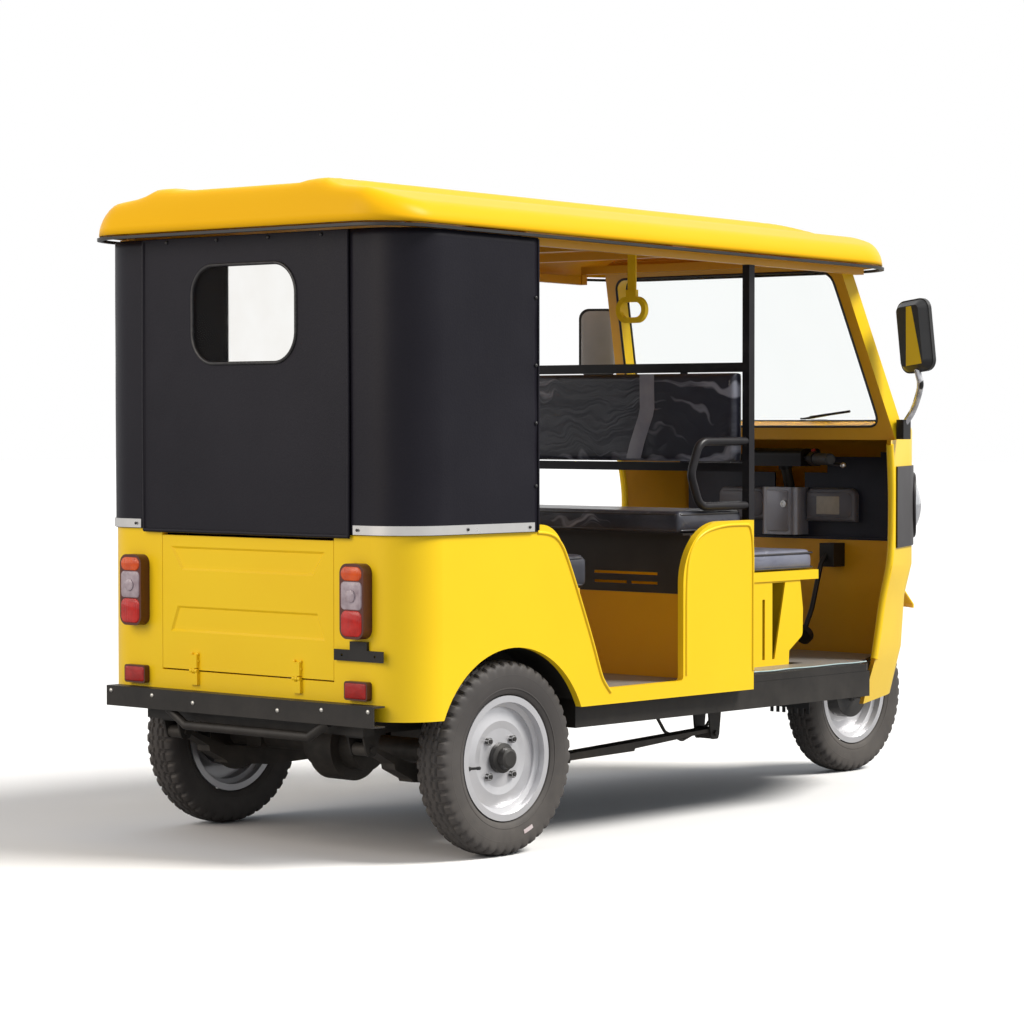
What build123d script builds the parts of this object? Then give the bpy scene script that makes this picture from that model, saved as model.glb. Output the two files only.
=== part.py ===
from build123d import *

import math
import os

# Electric auto rickshaw: one front wheel steered by a handlebar, two rear wheels on a live axle.
# Frame: +X forward, +Y left, +Z up, millimetres. The origin is on the ground, under the middle of the
# whole vehicle's box.

# ---------------------------------------------------------------- driving dimensions
WHEELBASE = 2274.0
REAR_AXLE_X = -1032.0
FRONT_AXLE_X = REAR_AXLE_X + WHEELBASE
TYRE_RADIUS = 260.0
TYRE_HALF_WIDTH = 53.0
BEAD_RADIUS = 153.0
FLANGE_RADIUS = 166.5
FLANGE_HALF_WIDTH = 44.0
RIM_GAUGE = 4.0
REAR_WHEEL_Y = 529.0

BODY_HALF_WIDTH = 600.0
BODY_REAR_X = -1437.0
BODY_CORNER_RADIUS = 130.0
BODY_WALL = 20.0
BODY_BOTTOM_Z = 380.0
BODY_TOP_Z = 877.0
ARCH_RADIUS = 295.0
SILL_TOP_Z = 424.0
SILL_FRONT_X = -7.0
GATE_HALF_WIDTH = 334.0
GATE_SEAM = 1.5
GATE_BOTTOM_Z = 478.0
GATE_TOP_Z = 842.0
GATE_HINGE_Y = 200.0
SEAT_CLEARANCE = 0.3

CANVAS_THICKNESS = 5.0
CANVAS_BOTTOM_Z = 858.0
CANVAS_FRONT_X = -942.0
FLAP_HALF_WIDTH = 400.0
FLAP_BOTTOM_Z = 849.0

ROOF_REAR_X = -1502.0
ROOF_FRONT_X = 745.0
ROOF_HALF_WIDTH = 612.0
ROOF_WALL = 8.0
LIP_REAR_Z = 1664.0
LIP_SLOPE = 0.0213

RAIL_Z = 335.0
FLOOR_Z = 395.0
FLOOR_THICKNESS = 20.0
MAT_THICKNESS = 6.0

NOSE_CENTRE_X = 778.0
NOSE_RADIUS = 489.0
NOSE_WALL_ANGLE = 23.5
NOSE_WALL = 14.0

STEERING_RAKE = 18.0
STEERING_TOP = (930.0, 0.0, 1000.0)
STEM_RADIUS = 17.0

PILLAR_X = 28.0
PILLAR_Y = 552.0
PILLAR_SIZE = 25.0

os.makedirs("parts", exist_ok=True)


# ---------------------------------------------------------------- shared ways of making a piece
def outline(rows):
    """Closed face on XY from (u, v, corner radius) rows; a radius of 0 keeps the corner sharp."""
    with BuildSketch() as flat:
        with BuildLine():
            Polyline(*[(u, v) for u, v, _ in rows], close=True)
        make_face()
        for u, v, radius in rows:
            if radius > 0:
                fillet(flat.vertices().sort_by_distance((u, v))[0], radius)
    return flat.sketch


def across(rows, y_low, y_high):
    """Prism of an (x, z) outline between two y planes."""
    with BuildPart() as prism:
        with BuildSketch(Plane.XZ.offset(-y_low)):
            add(outline(rows))
        extrude(amount=y_low - y_high)
    return prism.part


def upward(rows, z_low, z_high):
    """Prism of an (x, y) outline between two heights."""
    with BuildPart() as prism:
        with BuildSketch(Plane.XY.offset(z_low)):
            add(outline(rows))
        extrude(amount=z_high - z_low)
    return prism.part


def block(x, y, z, mode=Mode.ADD):
    """Box from a (low, high) pair on each axis."""
    with Locations(((x[0] + x[1]) / 2, (y[0] + y[1]) / 2, (z[0] + z[1]) / 2)):
        Box(x[1] - x[0], y[1] - y[0], z[1] - z[0], mode=mode)


def rod(start, end, radius, mode=Mode.ADD):
    """Round bar between two points."""
    run = Vector(*end) - Vector(*start)
    with Locations(Plane(origin=start, z_dir=run).location):
        Cylinder(radius, run.length, align=(Align.CENTER, Align.CENTER, Align.MIN), mode=mode)


def bent_tube(points, radius, bend):
    """Round tube along straight runs joined by bends."""
    with BuildPart() as tube:
        with BuildLine() as path:
            FilletPolyline(*points, radius=bend)
        with BuildSketch(Plane(origin=path.line @ 0, z_dir=path.line % 0)):
            Circle(radius)
        sweep(path=path.line)
    return tube.part


def write(builder, label):
    """Label one finished piece and write its STEP file."""
    builder.part.label = label
    export_step(builder.part, f"parts/{label}.step")


def lip_z(x):
    """Height of the roof's lower edge at a station."""
    return LIP_REAR_Z - LIP_SLOPE * (x - ROOF_REAR_X)


def steering_x(z):
    """Station of the steering axis at a height."""
    return STEERING_TOP[0] - (z - STEERING_TOP[2]) * math.tan(math.radians(STEERING_RAKE))


# ---------------------------------------------------------------- wheels
# Outward is +Y. Rows are (axial y, radius, corner radius).
TYRE_ROWS = [
    (-FLANGE_HALF_WIDTH + RIM_GAUGE + 0.3, BEAD_RADIUS + 0.3, 0),
    (FLANGE_HALF_WIDTH - RIM_GAUGE - 0.3, BEAD_RADIUS + 0.3, 0),
    (FLANGE_HALF_WIDTH - RIM_GAUGE - 0.3, FLANGE_RADIUS + 2, 0),
    (TYRE_HALF_WIDTH, 200, 18),
    (TYRE_HALF_WIDTH - 2, 238, 14),
    (TYRE_HALF_WIDTH - 9, 255, 5),
    (16, TYRE_RADIUS, 0),
    (-16, TYRE_RADIUS, 0),
    (-TYRE_HALF_WIDTH + 9, 255, 5),
    (-TYRE_HALF_WIDTH + 2, 238, 14),
    (-TYRE_HALF_WIDTH, 200, 18),
    (-FLANGE_HALF_WIDTH + RIM_GAUGE + 0.3, FLANGE_RADIUS + 2, 0),
]
WELL_RADIUS = 139.0
RIM_ROWS = [
    (-FLANGE_HALF_WIDTH, FLANGE_RADIUS, 0),
    (-FLANGE_HALF_WIDTH + RIM_GAUGE, FLANGE_RADIUS, 0),
    (-FLANGE_HALF_WIDTH + RIM_GAUGE, BEAD_RADIUS, 0),
    (-20, BEAD_RADIUS, 0),
    (-16, WELL_RADIUS, 0),
    (16, WELL_RADIUS, 0),
    (20, BEAD_RADIUS, 0),
    (FLANGE_HALF_WIDTH - RIM_GAUGE, BEAD_RADIUS, 0),
    (FLANGE_HALF_WIDTH - RIM_GAUGE, FLANGE_RADIUS, 0),
    (FLANGE_HALF_WIDTH, FLANGE_RADIUS, 0),
    (FLANGE_HALF_WIDTH, BEAD_RADIUS - RIM_GAUGE, 0),
    (23, BEAD_RADIUS - RIM_GAUGE, 0),
    (19, WELL_RADIUS - RIM_GAUGE, 0),
    (-19, WELL_RADIUS - RIM_GAUGE, 0),
    (-23, BEAD_RADIUS - RIM_GAUGE, 0),
    (-FLANGE_HALF_WIDTH, BEAD_RADIUS - RIM_GAUGE, 0),
]
HUB_RADIUS = 40.0
DISC_FACE_Y = 17.0
DISC_ROWS = [
    (9, WELL_RADIUS - 3, 0),
    (13, WELL_RADIUS - 3, 0),
    (15, 126, 0),
    (20, 98, 0),
    (DISC_FACE_Y, 78, 0),
    (DISC_FACE_Y, HUB_RADIUS + 0.3, 0),
    (DISC_FACE_Y - RIM_GAUGE, HUB_RADIUS + 0.3, 0),
    (DISC_FACE_Y - RIM_GAUGE, 78, 0),
    (16, 98, 0),
    (11, 126, 0),
]
STUD_CIRCLE = 66.0
STUD_COUNT = 4
STUD_RADIUS = 6.0
DRUM_RADIUS = 100.0
DRUM_INNER_Y = -46.0
REAR_BORE_RADIUS = 15.3
REAR_BORE_DEPTH = 22.0
REAR_HUB_ROWS = [
    (DRUM_INNER_Y, 0, 0),
    (DRUM_INNER_Y, DRUM_RADIUS, 0),
    (4, DRUM_RADIUS - 6, 0),
    (DISC_FACE_Y - RIM_GAUGE - 0.3, 82, 0),
    (DISC_FACE_Y - RIM_GAUGE - 0.3, HUB_RADIUS, 0),
    (32, HUB_RADIUS, 0),
    (36, 29, 0),
    (54, 27, 0),
    (57, 20, 0),
    (57, 0, 0),
]
FRONT_BORE_RADIUS = 10.3
FRONT_HUB_HALF = 55.0
FRONT_HUB_ROWS = [
    (-FRONT_HUB_HALF + 6, 0, 0),
    (-FRONT_HUB_HALF + 6, 24, 0),
    (-34, 30, 0),
    (-34, 82, 0),
    (DISC_FACE_Y - RIM_GAUGE - 0.3, 82, 0),
    (DISC_FACE_Y - RIM_GAUGE - 0.3, HUB_RADIUS, 0),
    (30, HUB_RADIUS, 0),
    (34, 24, 0),
    (FRONT_HUB_HALF - 6, 24, 0),
    (FRONT_HUB_HALF - 6, 0, 0),
]


def turned(rows):
    """Solid of revolution about the wheel's axis."""
    with BuildPart() as lathe:
        with BuildSketch(Plane.YZ):
            add(outline(rows))
        revolve(axis=Axis.Y)
    return lathe.part


def rim_solid():
    """Pressed steel rim with its dished disc and stud holes."""
    with BuildPart() as rim:
        add(turned(RIM_ROWS))
        add(turned(DISC_ROWS))
        for index in range(STUD_COUNT):
            angle = math.radians(45 + 360 * index / STUD_COUNT)
            hole = (STUD_CIRCLE * math.cos(angle), 0, STUD_CIRCLE * math.sin(angle))
            rod(hole, (hole[0], 40, hole[2]), STUD_RADIUS + 0.5, Mode.SUBTRACT)
    return rim.part


def hub_solid(rows, bore_radius, bore_from, bore_to):
    """Hub with its drum, wheel studs and nuts."""
    with BuildPart() as hub:
        add(turned(rows))
        for index in range(STUD_COUNT):
            angle = math.radians(45 + 360 * index / STUD_COUNT)
            stud = (STUD_CIRCLE * math.cos(angle), 8, STUD_CIRCLE * math.sin(angle))
            rod(stud, (stud[0], DISC_FACE_Y + 14, stud[2]), STUD_RADIUS)
            rod((stud[0], DISC_FACE_Y + 0.3, stud[2]), (stud[0], DISC_FACE_Y + 10, stud[2]), 10)
        rod((0, bore_from, 0), (0, bore_to, 0), bore_radius, Mode.SUBTRACT)
    return hub.part


# columns: wheel name, centre x, centre y, turn about Z so that the disc faces outward
WHEELS = [
    ("front", FRONT_AXLE_X, 0.0, 0),
    ("rear_left", REAR_AXLE_X, REAR_WHEEL_Y, 0),
    ("rear_right", REAR_AXLE_X, -REAR_WHEEL_Y, 180),
]
tyre_shape = turned(TYRE_ROWS)
rim_shape = rim_solid()
rear_hub_shape = hub_solid(REAR_HUB_ROWS, REAR_BORE_RADIUS, DRUM_INNER_Y, REAR_BORE_DEPTH)
front_hub_shape = hub_solid(FRONT_HUB_ROWS, FRONT_BORE_RADIUS, -60, 60)
for wheel, wheel_x, wheel_y, turn in WHEELS:
    hub_shape = front_hub_shape if wheel == "front" else rear_hub_shape
    for kind, shape in (("tyre", tyre_shape), ("rim", rim_shape), ("hub", hub_shape)):
        with BuildPart() as wheel_piece:
            with Locations(Location((wheel_x, wheel_y, TYRE_RADIUS), (0, 0, turn))):
                add(shape)
        write(wheel_piece, f"{wheel}_{kind}")

# ---------------------------------------------------------------- rear axle
AXLE_TUBE_RADIUS = 32.0
BACK_PLATE_Y = REAR_WHEEL_Y + DRUM_INNER_Y - 9
BACK_PLATE_GAUGE = 4.0
STUB_RADIUS = 15.0
DIFF_Y = 35.0
DIFF_RADIUS = 101.0
SPRING_Y = 360.0
SPRING_WIDTH = 50.0
SPRING_TOP_Z = 227.0
# (x, z, corner radius) of the saddle that sits on the spring
SADDLE_ROWS = [
    (REAR_AXLE_X - 40, 231.9, 0),
    (REAR_AXLE_X, SPRING_TOP_Z + SEAT_CLEARANCE, 0),
    (REAR_AXLE_X + 40, 226.9, 0),
    (REAR_AXLE_X + 40, TYRE_RADIUS, 0),
    (REAR_AXLE_X - 40, TYRE_RADIUS, 0),
]
with BuildPart() as rear_axle:
    rod(
        (REAR_AXLE_X, -BACK_PLATE_Y, TYRE_RADIUS), (REAR_AXLE_X, BACK_PLATE_Y, TYRE_RADIUS), AXLE_TUBE_RADIUS
    )
    rod(
        (REAR_AXLE_X, -REAR_WHEEL_Y - 20, TYRE_RADIUS),
        (REAR_AXLE_X, REAR_WHEEL_Y + 20, TYRE_RADIUS),
        STUB_RADIUS,
    )
    for side in (-1, 1):
        rod(
            (REAR_AXLE_X, side * (BACK_PLATE_Y - BACK_PLATE_GAUGE), TYRE_RADIUS),
            (REAR_AXLE_X, side * BACK_PLATE_Y, TYRE_RADIUS),
            DRUM_RADIUS + 4,
        )
        add(across(SADDLE_ROWS, *sorted((side * (SPRING_Y - 30), side * (SPRING_Y + 30)))))
    with Locations(Location((REAR_AXLE_X, DIFF_Y, TYRE_RADIUS), (90, 0, 0))):
        Cylinder(DIFF_RADIUS, 90)
        Cylinder(70, 190)
    rod((REAR_AXLE_X + 155, -70, TYRE_RADIUS + 10), (REAR_AXLE_X + 155, 185, TYRE_RADIUS + 10), 82)
    block(
        (REAR_AXLE_X, REAR_AXLE_X + 155), (DIFF_Y - 40, DIFF_Y + 40), (TYRE_RADIUS - 50, TYRE_RADIUS + 60)
    )
write(rear_axle, "rear_axle")

# ---------------------------------------------------------------- leaf springs
REAR_EYE = (-1357.0, 295.0)
FRONT_EYE = (77.0, 234.0)
EYE_RADIUS = 18.0
EYE_PIN_RADIUS = 8.0
# (x, z, corner radius) round the spring pack, short leaves below the long one
SPRING_ROWS = [
    (REAR_EYE[0], REAR_EYE[1] + 14, 0),
    (-1200, 246, 60),
    (REAR_AXLE_X, SPRING_TOP_Z, 0),
    (-600, 221, 60),
    (FRONT_EYE[0], FRONT_EYE[1] + 14, 0),
    (FRONT_EYE[0], FRONT_EYE[1] + 4, 0),
    (-280, 215, 0),
    (-284, 208, 0),
    (-560, 203, 0),
    (-564, 196, 0),
    (-800, 190, 0),
    (-804, 183, 0),
    (REAR_AXLE_X, 179, 0),
    (-1196, 196, 0),
    (-1200, 204, 0),
    (-1262, 234, 0),
    (-1266, 250, 0),
    (REAR_EYE[0], REAR_EYE[1] + 4, 0),
]
with BuildPart() as leaf_springs:
    for side in (-1, 1):
        spring_y = (side * SPRING_Y - SPRING_WIDTH / 2, side * SPRING_Y + SPRING_WIDTH / 2)
        add(across(SPRING_ROWS, *spring_y))
        for eye_x, eye_z in (REAR_EYE, FRONT_EYE):
            rod((eye_x, spring_y[0], eye_z), (eye_x, spring_y[1], eye_z), EYE_RADIUS)
            rod(
                (eye_x, spring_y[0], eye_z), (eye_x, spring_y[1], eye_z), EYE_PIN_RADIUS + 0.3, Mode.SUBTRACT
            )
write(leaf_springs, "leaf_springs")

# ---------------------------------------------------------------- chassis frame
RAIL_TOP_Z = FLOOR_Z - SEAT_CLEARANCE
RAIL_REAR_X = BODY_REAR_X + BODY_WALL + SEAT_CLEARANCE
RAIL_FRONT_X = 925.0
STRUT_FOOT_X = (RAIL_FRONT_X, RAIL_FRONT_X + 40)
RAIL_HALF = 25.0
SIDE_RAIL_Y = (520.0, 557.0)
SIDE_RAIL_Z = (318.0, RAIL_TOP_Z)
SIDE_RAIL_X = (-738.0, 618.0)
# columns: low x, high x, half width, low z, high z
CROSS_MEMBERS = [
    (RAIL_REAR_X, RAIL_REAR_X + 40, 420.0, RAIL_Z, RAIL_TOP_Z),
    (-738.0, -698.0, 540.0, RAIL_Z, SIDE_RAIL_Z[1]),
    (-60.0, -20.0, 540.0, RAIL_Z, SIDE_RAIL_Z[1]),
    (578.0, 618.0, 540.0, RAIL_Z, SIDE_RAIL_Z[1]),
    (*STRUT_FOOT_X, SPRING_Y, RAIL_Z, RAIL_TOP_Z),
]
HANGER_GAUGE = 6.0
HEAD_TUBE_Z = (665.0, 790.0)
HEAD_TUBE_RADIUS = 30.0
STRUT_RADIUS = 14.0
with BuildPart() as chassis_frame:
    for side in (-1, 1):
        rail_y = (side * SPRING_Y - RAIL_HALF, side * SPRING_Y + RAIL_HALF)
        block((RAIL_REAR_X, RAIL_FRONT_X), rail_y, (RAIL_Z, RAIL_TOP_Z))
        block(SIDE_RAIL_X, sorted((side * SIDE_RAIL_Y[0], side * SIDE_RAIL_Y[1])), SIDE_RAIL_Z)
        for eye_x, eye_z in (REAR_EYE, FRONT_EYE):
            for cheek in (-1, 1):
                cheek_y = side * SPRING_Y + cheek * (SPRING_WIDTH / 2 + 0.5 + HANGER_GAUGE / 2)
                hanger = [
                    (eye_x - 34, RAIL_Z + 10, 0),
                    (eye_x - 20, eye_z - 4, 0),
                    (eye_x - 14, eye_z - 18, 8),
                    (eye_x + 14, eye_z - 18, 8),
                    (eye_x + 20, eye_z - 4, 0),
                    (eye_x + 34, RAIL_Z + 10, 0),
                ]
                add(across(hanger, cheek_y - HANGER_GAUGE / 2, cheek_y + HANGER_GAUGE / 2))
            pin_half = SPRING_WIDTH / 2 + HANGER_GAUGE + 8
            rod(
                (eye_x, side * SPRING_Y - pin_half, eye_z),
                (eye_x, side * SPRING_Y + pin_half, eye_z),
                EYE_PIN_RADIUS,
            )
            block(
                (eye_x - 34, eye_x + 34),
                (side * SPRING_Y - SPRING_WIDTH / 2 - 7, side * SPRING_Y + SPRING_WIDTH / 2 + 7),
                (RAIL_Z - 8, RAIL_Z + 12),
            )
    for low_x, high_x, half, low_z, high_z in CROSS_MEMBERS:
        block((low_x, high_x), (-half, half), (low_z, high_z))
    for side in (-1, 1):
        rod(
            (STRUT_FOOT_X[1] - 10, side * 330, RAIL_TOP_Z - 5), (steering_x(700) - 18, side * 12, 700), STRUT_RADIUS
        )
    rod(
        (steering_x(HEAD_TUBE_Z[0]), 0, HEAD_TUBE_Z[0]),
        (steering_x(HEAD_TUBE_Z[1]), 0, HEAD_TUBE_Z[1]),
        HEAD_TUBE_RADIUS,
    )
    rod((steering_x(560), 0, 560), (steering_x(900), 0, 900), STEM_RADIUS + 0.3, Mode.SUBTRACT)
write(chassis_frame, "chassis_frame")

# ---------------------------------------------------------------- body sides
# (x, z, corner radius): rear edge, wheel arch, sill, front side panel, door opening, quarter panel
SIDE_PANEL_X = -327.0
SIDE_PANEL_TOP_Z = 867.0
DOOR_ROWS = [
    (SIDE_PANEL_X, SILL_TOP_Z, 12),
    (SIDE_PANEL_X, SIDE_PANEL_TOP_Z, 170),
    (SILL_FRONT_X + 40, SIDE_PANEL_TOP_Z, 0),
    (SILL_FRONT_X + 40, BODY_TOP_Z + 60, 0),
    (-955, BODY_TOP_Z + 60, 0),
    (-955, BODY_TOP_Z, 0),
    (-866, BODY_TOP_Z, 95),
    (-656, SILL_TOP_Z, 26),
]


def plan_band(half_width, rear_x, corner, front_x, z_low, z_high):
    """Block with rounded rear corners, for walls that run round the back of the body."""
    rows = [
        (rear_x, -half_width, corner),
        (front_x, -half_width, 0),
        (front_x, half_width, 0),
        (rear_x, half_width, corner),
    ]
    return upward(rows, z_low, z_high)


with BuildPart() as body_sides:
    add(
        plan_band(BODY_HALF_WIDTH, BODY_REAR_X, BODY_CORNER_RADIUS, SILL_FRONT_X, BODY_BOTTOM_Z, BODY_TOP_Z)
    )
    add(
        plan_band(
            BODY_HALF_WIDTH - BODY_WALL,
            BODY_REAR_X + BODY_WALL,
            BODY_CORNER_RADIUS - BODY_WALL,
            SILL_FRONT_X + 10,
            BODY_BOTTOM_Z - 10,
            BODY_TOP_Z + 10,
        ),
        mode=Mode.SUBTRACT,
    )
    add(across(DOOR_ROWS, -BODY_HALF_WIDTH - 10, BODY_HALF_WIDTH + 10), mode=Mode.SUBTRACT)
    with Locations(Location((REAR_AXLE_X, 0, TYRE_RADIUS), (90, 0, 0))):
        Cylinder(ARCH_RADIUS, 2 * BODY_HALF_WIDTH + 20, mode=Mode.SUBTRACT)
    block(
        (BODY_REAR_X - 10, BODY_REAR_X + BODY_WALL + 10),
        (-GATE_HALF_WIDTH, GATE_HALF_WIDTH),
        (BODY_BOTTOM_Z - 10, BODY_TOP_Z + 10),
        Mode.SUBTRACT,
    )
write(body_sides, "body_sides")

# ---------------------------------------------------------------- rear panel and tailgate
HINGE_AXIS_X = BODY_REAR_X - 6
HINGE_AXIS_Z = 476.0
KNUCKLE_RADIUS = 5.5
KNUCKLE_PIN = 2.5
REAR_PANEL_TOP_Z = 474.0
HEADER_Z = (851.0, BODY_TOP_Z)
with BuildPart() as rear_panel:
    block(
        (BODY_REAR_X, BODY_REAR_X + BODY_WALL),
        (-GATE_HALF_WIDTH, GATE_HALF_WIDTH),
        (BODY_BOTTOM_Z, REAR_PANEL_TOP_Z),
    )
    block((BODY_REAR_X, BODY_REAR_X + BODY_WALL), (-GATE_HALF_WIDTH, GATE_HALF_WIDTH), HEADER_Z)
    for side in (-1, 1):
        hinge_y = side * GATE_HINGE_Y
        block((HINGE_AXIS_X - 3, BODY_REAR_X), (hinge_y - 15, hinge_y + 15), (438, HINGE_AXIS_Z - 7))
        for knuckle in (-1, 1):
            low = hinge_y + knuckle * 10 - 4.5
            rod((HINGE_AXIS_X, low, HINGE_AXIS_Z), (HINGE_AXIS_X, low + 9, HINGE_AXIS_Z), KNUCKLE_RADIUS)
            block((HINGE_AXIS_X - 3, HINGE_AXIS_X + 3), (low, low + 9), (HINGE_AXIS_Z - 8, HINGE_AXIS_Z))
        rod(
            (HINGE_AXIS_X, hinge_y - 14, HINGE_AXIS_Z), (HINGE_AXIS_X, hinge_y + 14, HINGE_AXIS_Z), KNUCKLE_PIN
        )
write(rear_panel, "rear_panel")

PRESSING_DEPTH = 5.0
# columns: half width at the top, half width at the bottom, top z, bottom z
PRESSINGS = [
    (300.0, 255.0, 812.0, 748.0),
    (272.0, 300.0, 650.0, 580.0),
]
gate_half = GATE_HALF_WIDTH - GATE_SEAM
with BuildPart() as tailgate:
    block((BODY_REAR_X, BODY_REAR_X + BODY_WALL), (-gate_half, gate_half), (GATE_BOTTOM_Z, GATE_TOP_Z))
    for top_half, bottom_half, top_z, bottom_z in PRESSINGS:
        with BuildSketch(Plane.YZ.offset(BODY_REAR_X)):
            with BuildLine():
                Polyline(
                    (-top_half, top_z),
                    (top_half, top_z),
                    (bottom_half, bottom_z),
                    (-bottom_half, bottom_z),
                    close=True,
                )
            make_face()
        extrude(amount=PRESSING_DEPTH, taper=50, mode=Mode.SUBTRACT)
    for side in (-1, 1):
        hinge_y = side * GATE_HINGE_Y
        block((HINGE_AXIS_X - 3, BODY_REAR_X), (hinge_y - 13, hinge_y + 13), (HINGE_AXIS_Z + 8, 520))
        block(
            (HINGE_AXIS_X - 3, HINGE_AXIS_X + 3), (hinge_y - 4, hinge_y + 4), (HINGE_AXIS_Z, HINGE_AXIS_Z + 10)
        )
        rod(
            (HINGE_AXIS_X, hinge_y - 4, HINGE_AXIS_Z), (HINGE_AXIS_X, hinge_y + 4, HINGE_AXIS_Z), KNUCKLE_RADIUS
        )
        rod(
            (HINGE_AXIS_X, hinge_y - 5, HINGE_AXIS_Z),
            (HINGE_AXIS_X, hinge_y + 5, HINGE_AXIS_Z),
            KNUCKLE_PIN + 0.3,
            Mode.SUBTRACT,
        )
write(tailgate, "tailgate")

# ---------------------------------------------------------------- rear lamps, plate bracket, bumper
LAMP_Y = 430.0
LAMP_SIZE = (87.0, 195.0, 32.0)
LAMP_Z = 689.0
REFLECTOR_SIZE = (84.0, 49.0, 18.0)
REFLECTOR_Z = 457.0
with BuildPart() as rear_lamps:
    for side in (-1, 1):
        for (width, height, depth), lamp_z, corner in ((LAMP_SIZE, LAMP_Z, 26), (REFLECTOR_SIZE, REFLECTOR_Z, 8)):
            seat = (BODY_REAR_X - SEAT_CLEARANCE, side * LAMP_Y, lamp_z)
            with BuildSketch(Plane(origin=seat, x_dir=(0, -1, 0), z_dir=(-1, 0, 0))):
                RectangleRounded(width, height, corner)
            extrude(amount=depth)
write(rear_lamps, "rear_lamps")

PLATE_BAR_Y = (-520.0, -342.0)
PLATE_HOLE_SPAN = 120.0
PLATE_HOLE_RADIUS = 3.5
with BuildPart() as plate_bracket:
    block((BODY_REAR_X - 9, BODY_REAR_X - 5), PLATE_BAR_Y, (533, 562))
    block((BODY_REAR_X - 9, BODY_REAR_X - SEAT_CLEARANCE), (-462, -400), (540, 584))
    for hole_y in (-431 - PLATE_HOLE_SPAN / 2, -431 + PLATE_HOLE_SPAN / 2):
        rod(
            (BODY_REAR_X - 12, hole_y, 547.5), (BODY_REAR_X, hole_y, 547.5), PLATE_HOLE_RADIUS, Mode.SUBTRACT
        )
write(plate_bracket, "plate_bracket")

BUMPER_X = (-1480.0, BODY_REAR_X - SEAT_CLEARANCE)
BUMPER_HALF_WIDTH = 519.0
BUMPER_Z = (367.0, 422.4)
BUMPER_GAUGE = 4.0
BUMPER_TUBE_RADIUS = 12.0
# (y, z) of the bends and ends of the tube hung under the bumper
BUMPER_TUBE_ROWS = [
    (285.0, BUMPER_Z[0] + 3),
    (215.0, 328.0),
    (-265.0, 328.0),
    (-335.0, BUMPER_Z[0] + 3),
]
with BuildPart() as rear_bumper:
    block(BUMPER_X, (-BUMPER_HALF_WIDTH, BUMPER_HALF_WIDTH), BUMPER_Z)
    block(
        (BUMPER_X[0] + BUMPER_GAUGE, BUMPER_X[1] + 5),
        (-BUMPER_HALF_WIDTH - 5, BUMPER_HALF_WIDTH + 5),
        (BUMPER_Z[0] + BUMPER_GAUGE, BUMPER_Z[1] - BUMPER_GAUGE),
        Mode.SUBTRACT,
    )
    tube_x = BUMPER_X[0] + 20
    tube_points = [(tube_x, y, z) for y, z in BUMPER_TUBE_ROWS]
    for start, end in zip(tube_points[:-1], tube_points[1:]):
        rod(start, end, BUMPER_TUBE_RADIUS)
    with Locations(*tube_points[1:-1]):
        Sphere(BUMPER_TUBE_RADIUS)
write(rear_bumper, "rear_bumper")

# ---------------------------------------------------------------- wheel arches and floor
ARCH_LINER_Y = (446.0, BODY_HALF_WIDTH - BODY_WALL - SEAT_CLEARANCE)
LINER_GAUGE = 6.0
with BuildPart() as wheel_arches:
    for side in (-1, 1):
        low_y, high_y = sorted((side * ARCH_LINER_Y[0], side * ARCH_LINER_Y[1]))
        centre = Location((REAR_AXLE_X, (low_y + high_y) / 2, TYRE_RADIUS), (90, 0, 0))
        with Locations(centre):
            Cylinder(ARCH_RADIUS + 2 + LINER_GAUGE, high_y - low_y)
        bay_y = sorted((side * (ARCH_LINER_Y[0] + LINER_GAUGE), side * (ARCH_LINER_Y[1] + 5)))
        with Locations(Location((REAR_AXLE_X, (bay_y[0] + bay_y[1]) / 2, TYRE_RADIUS), (90, 0, 0))):
            Cylinder(ARCH_RADIUS + 2, bay_y[1] - bay_y[0], mode=Mode.SUBTRACT)
    block((-1500, -600), (-700, 700), (-100, RAIL_TOP_Z + 5), Mode.SUBTRACT)
write(wheel_arches, "wheel_arches")


def nose_wall_y(x, inset):
    """Half width of the nose's side wall at a station, moved in by an inset."""
    slope = math.tan(math.radians(NOSE_WALL_ANGLE))
    tangent_x = NOSE_CENTRE_X + NOSE_RADIUS * math.sin(math.radians(NOSE_WALL_ANGLE))
    tangent_y = NOSE_RADIUS * math.cos(math.radians(NOSE_WALL_ANGLE))
    return tangent_y + (tangent_x - x) * slope - inset / math.cos(math.radians(NOSE_WALL_ANGLE))


FIREWALL_X = (925.0, 937.0)
FLOOR_REAR_X = -738.0
FLOOR_HALF_REAR = BODY_HALF_WIDTH - BODY_WALL - SEAT_CLEARANCE
FLOOR_HALF_CAB = 558.0
CAB_FLOOR_X = 600.0
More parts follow.
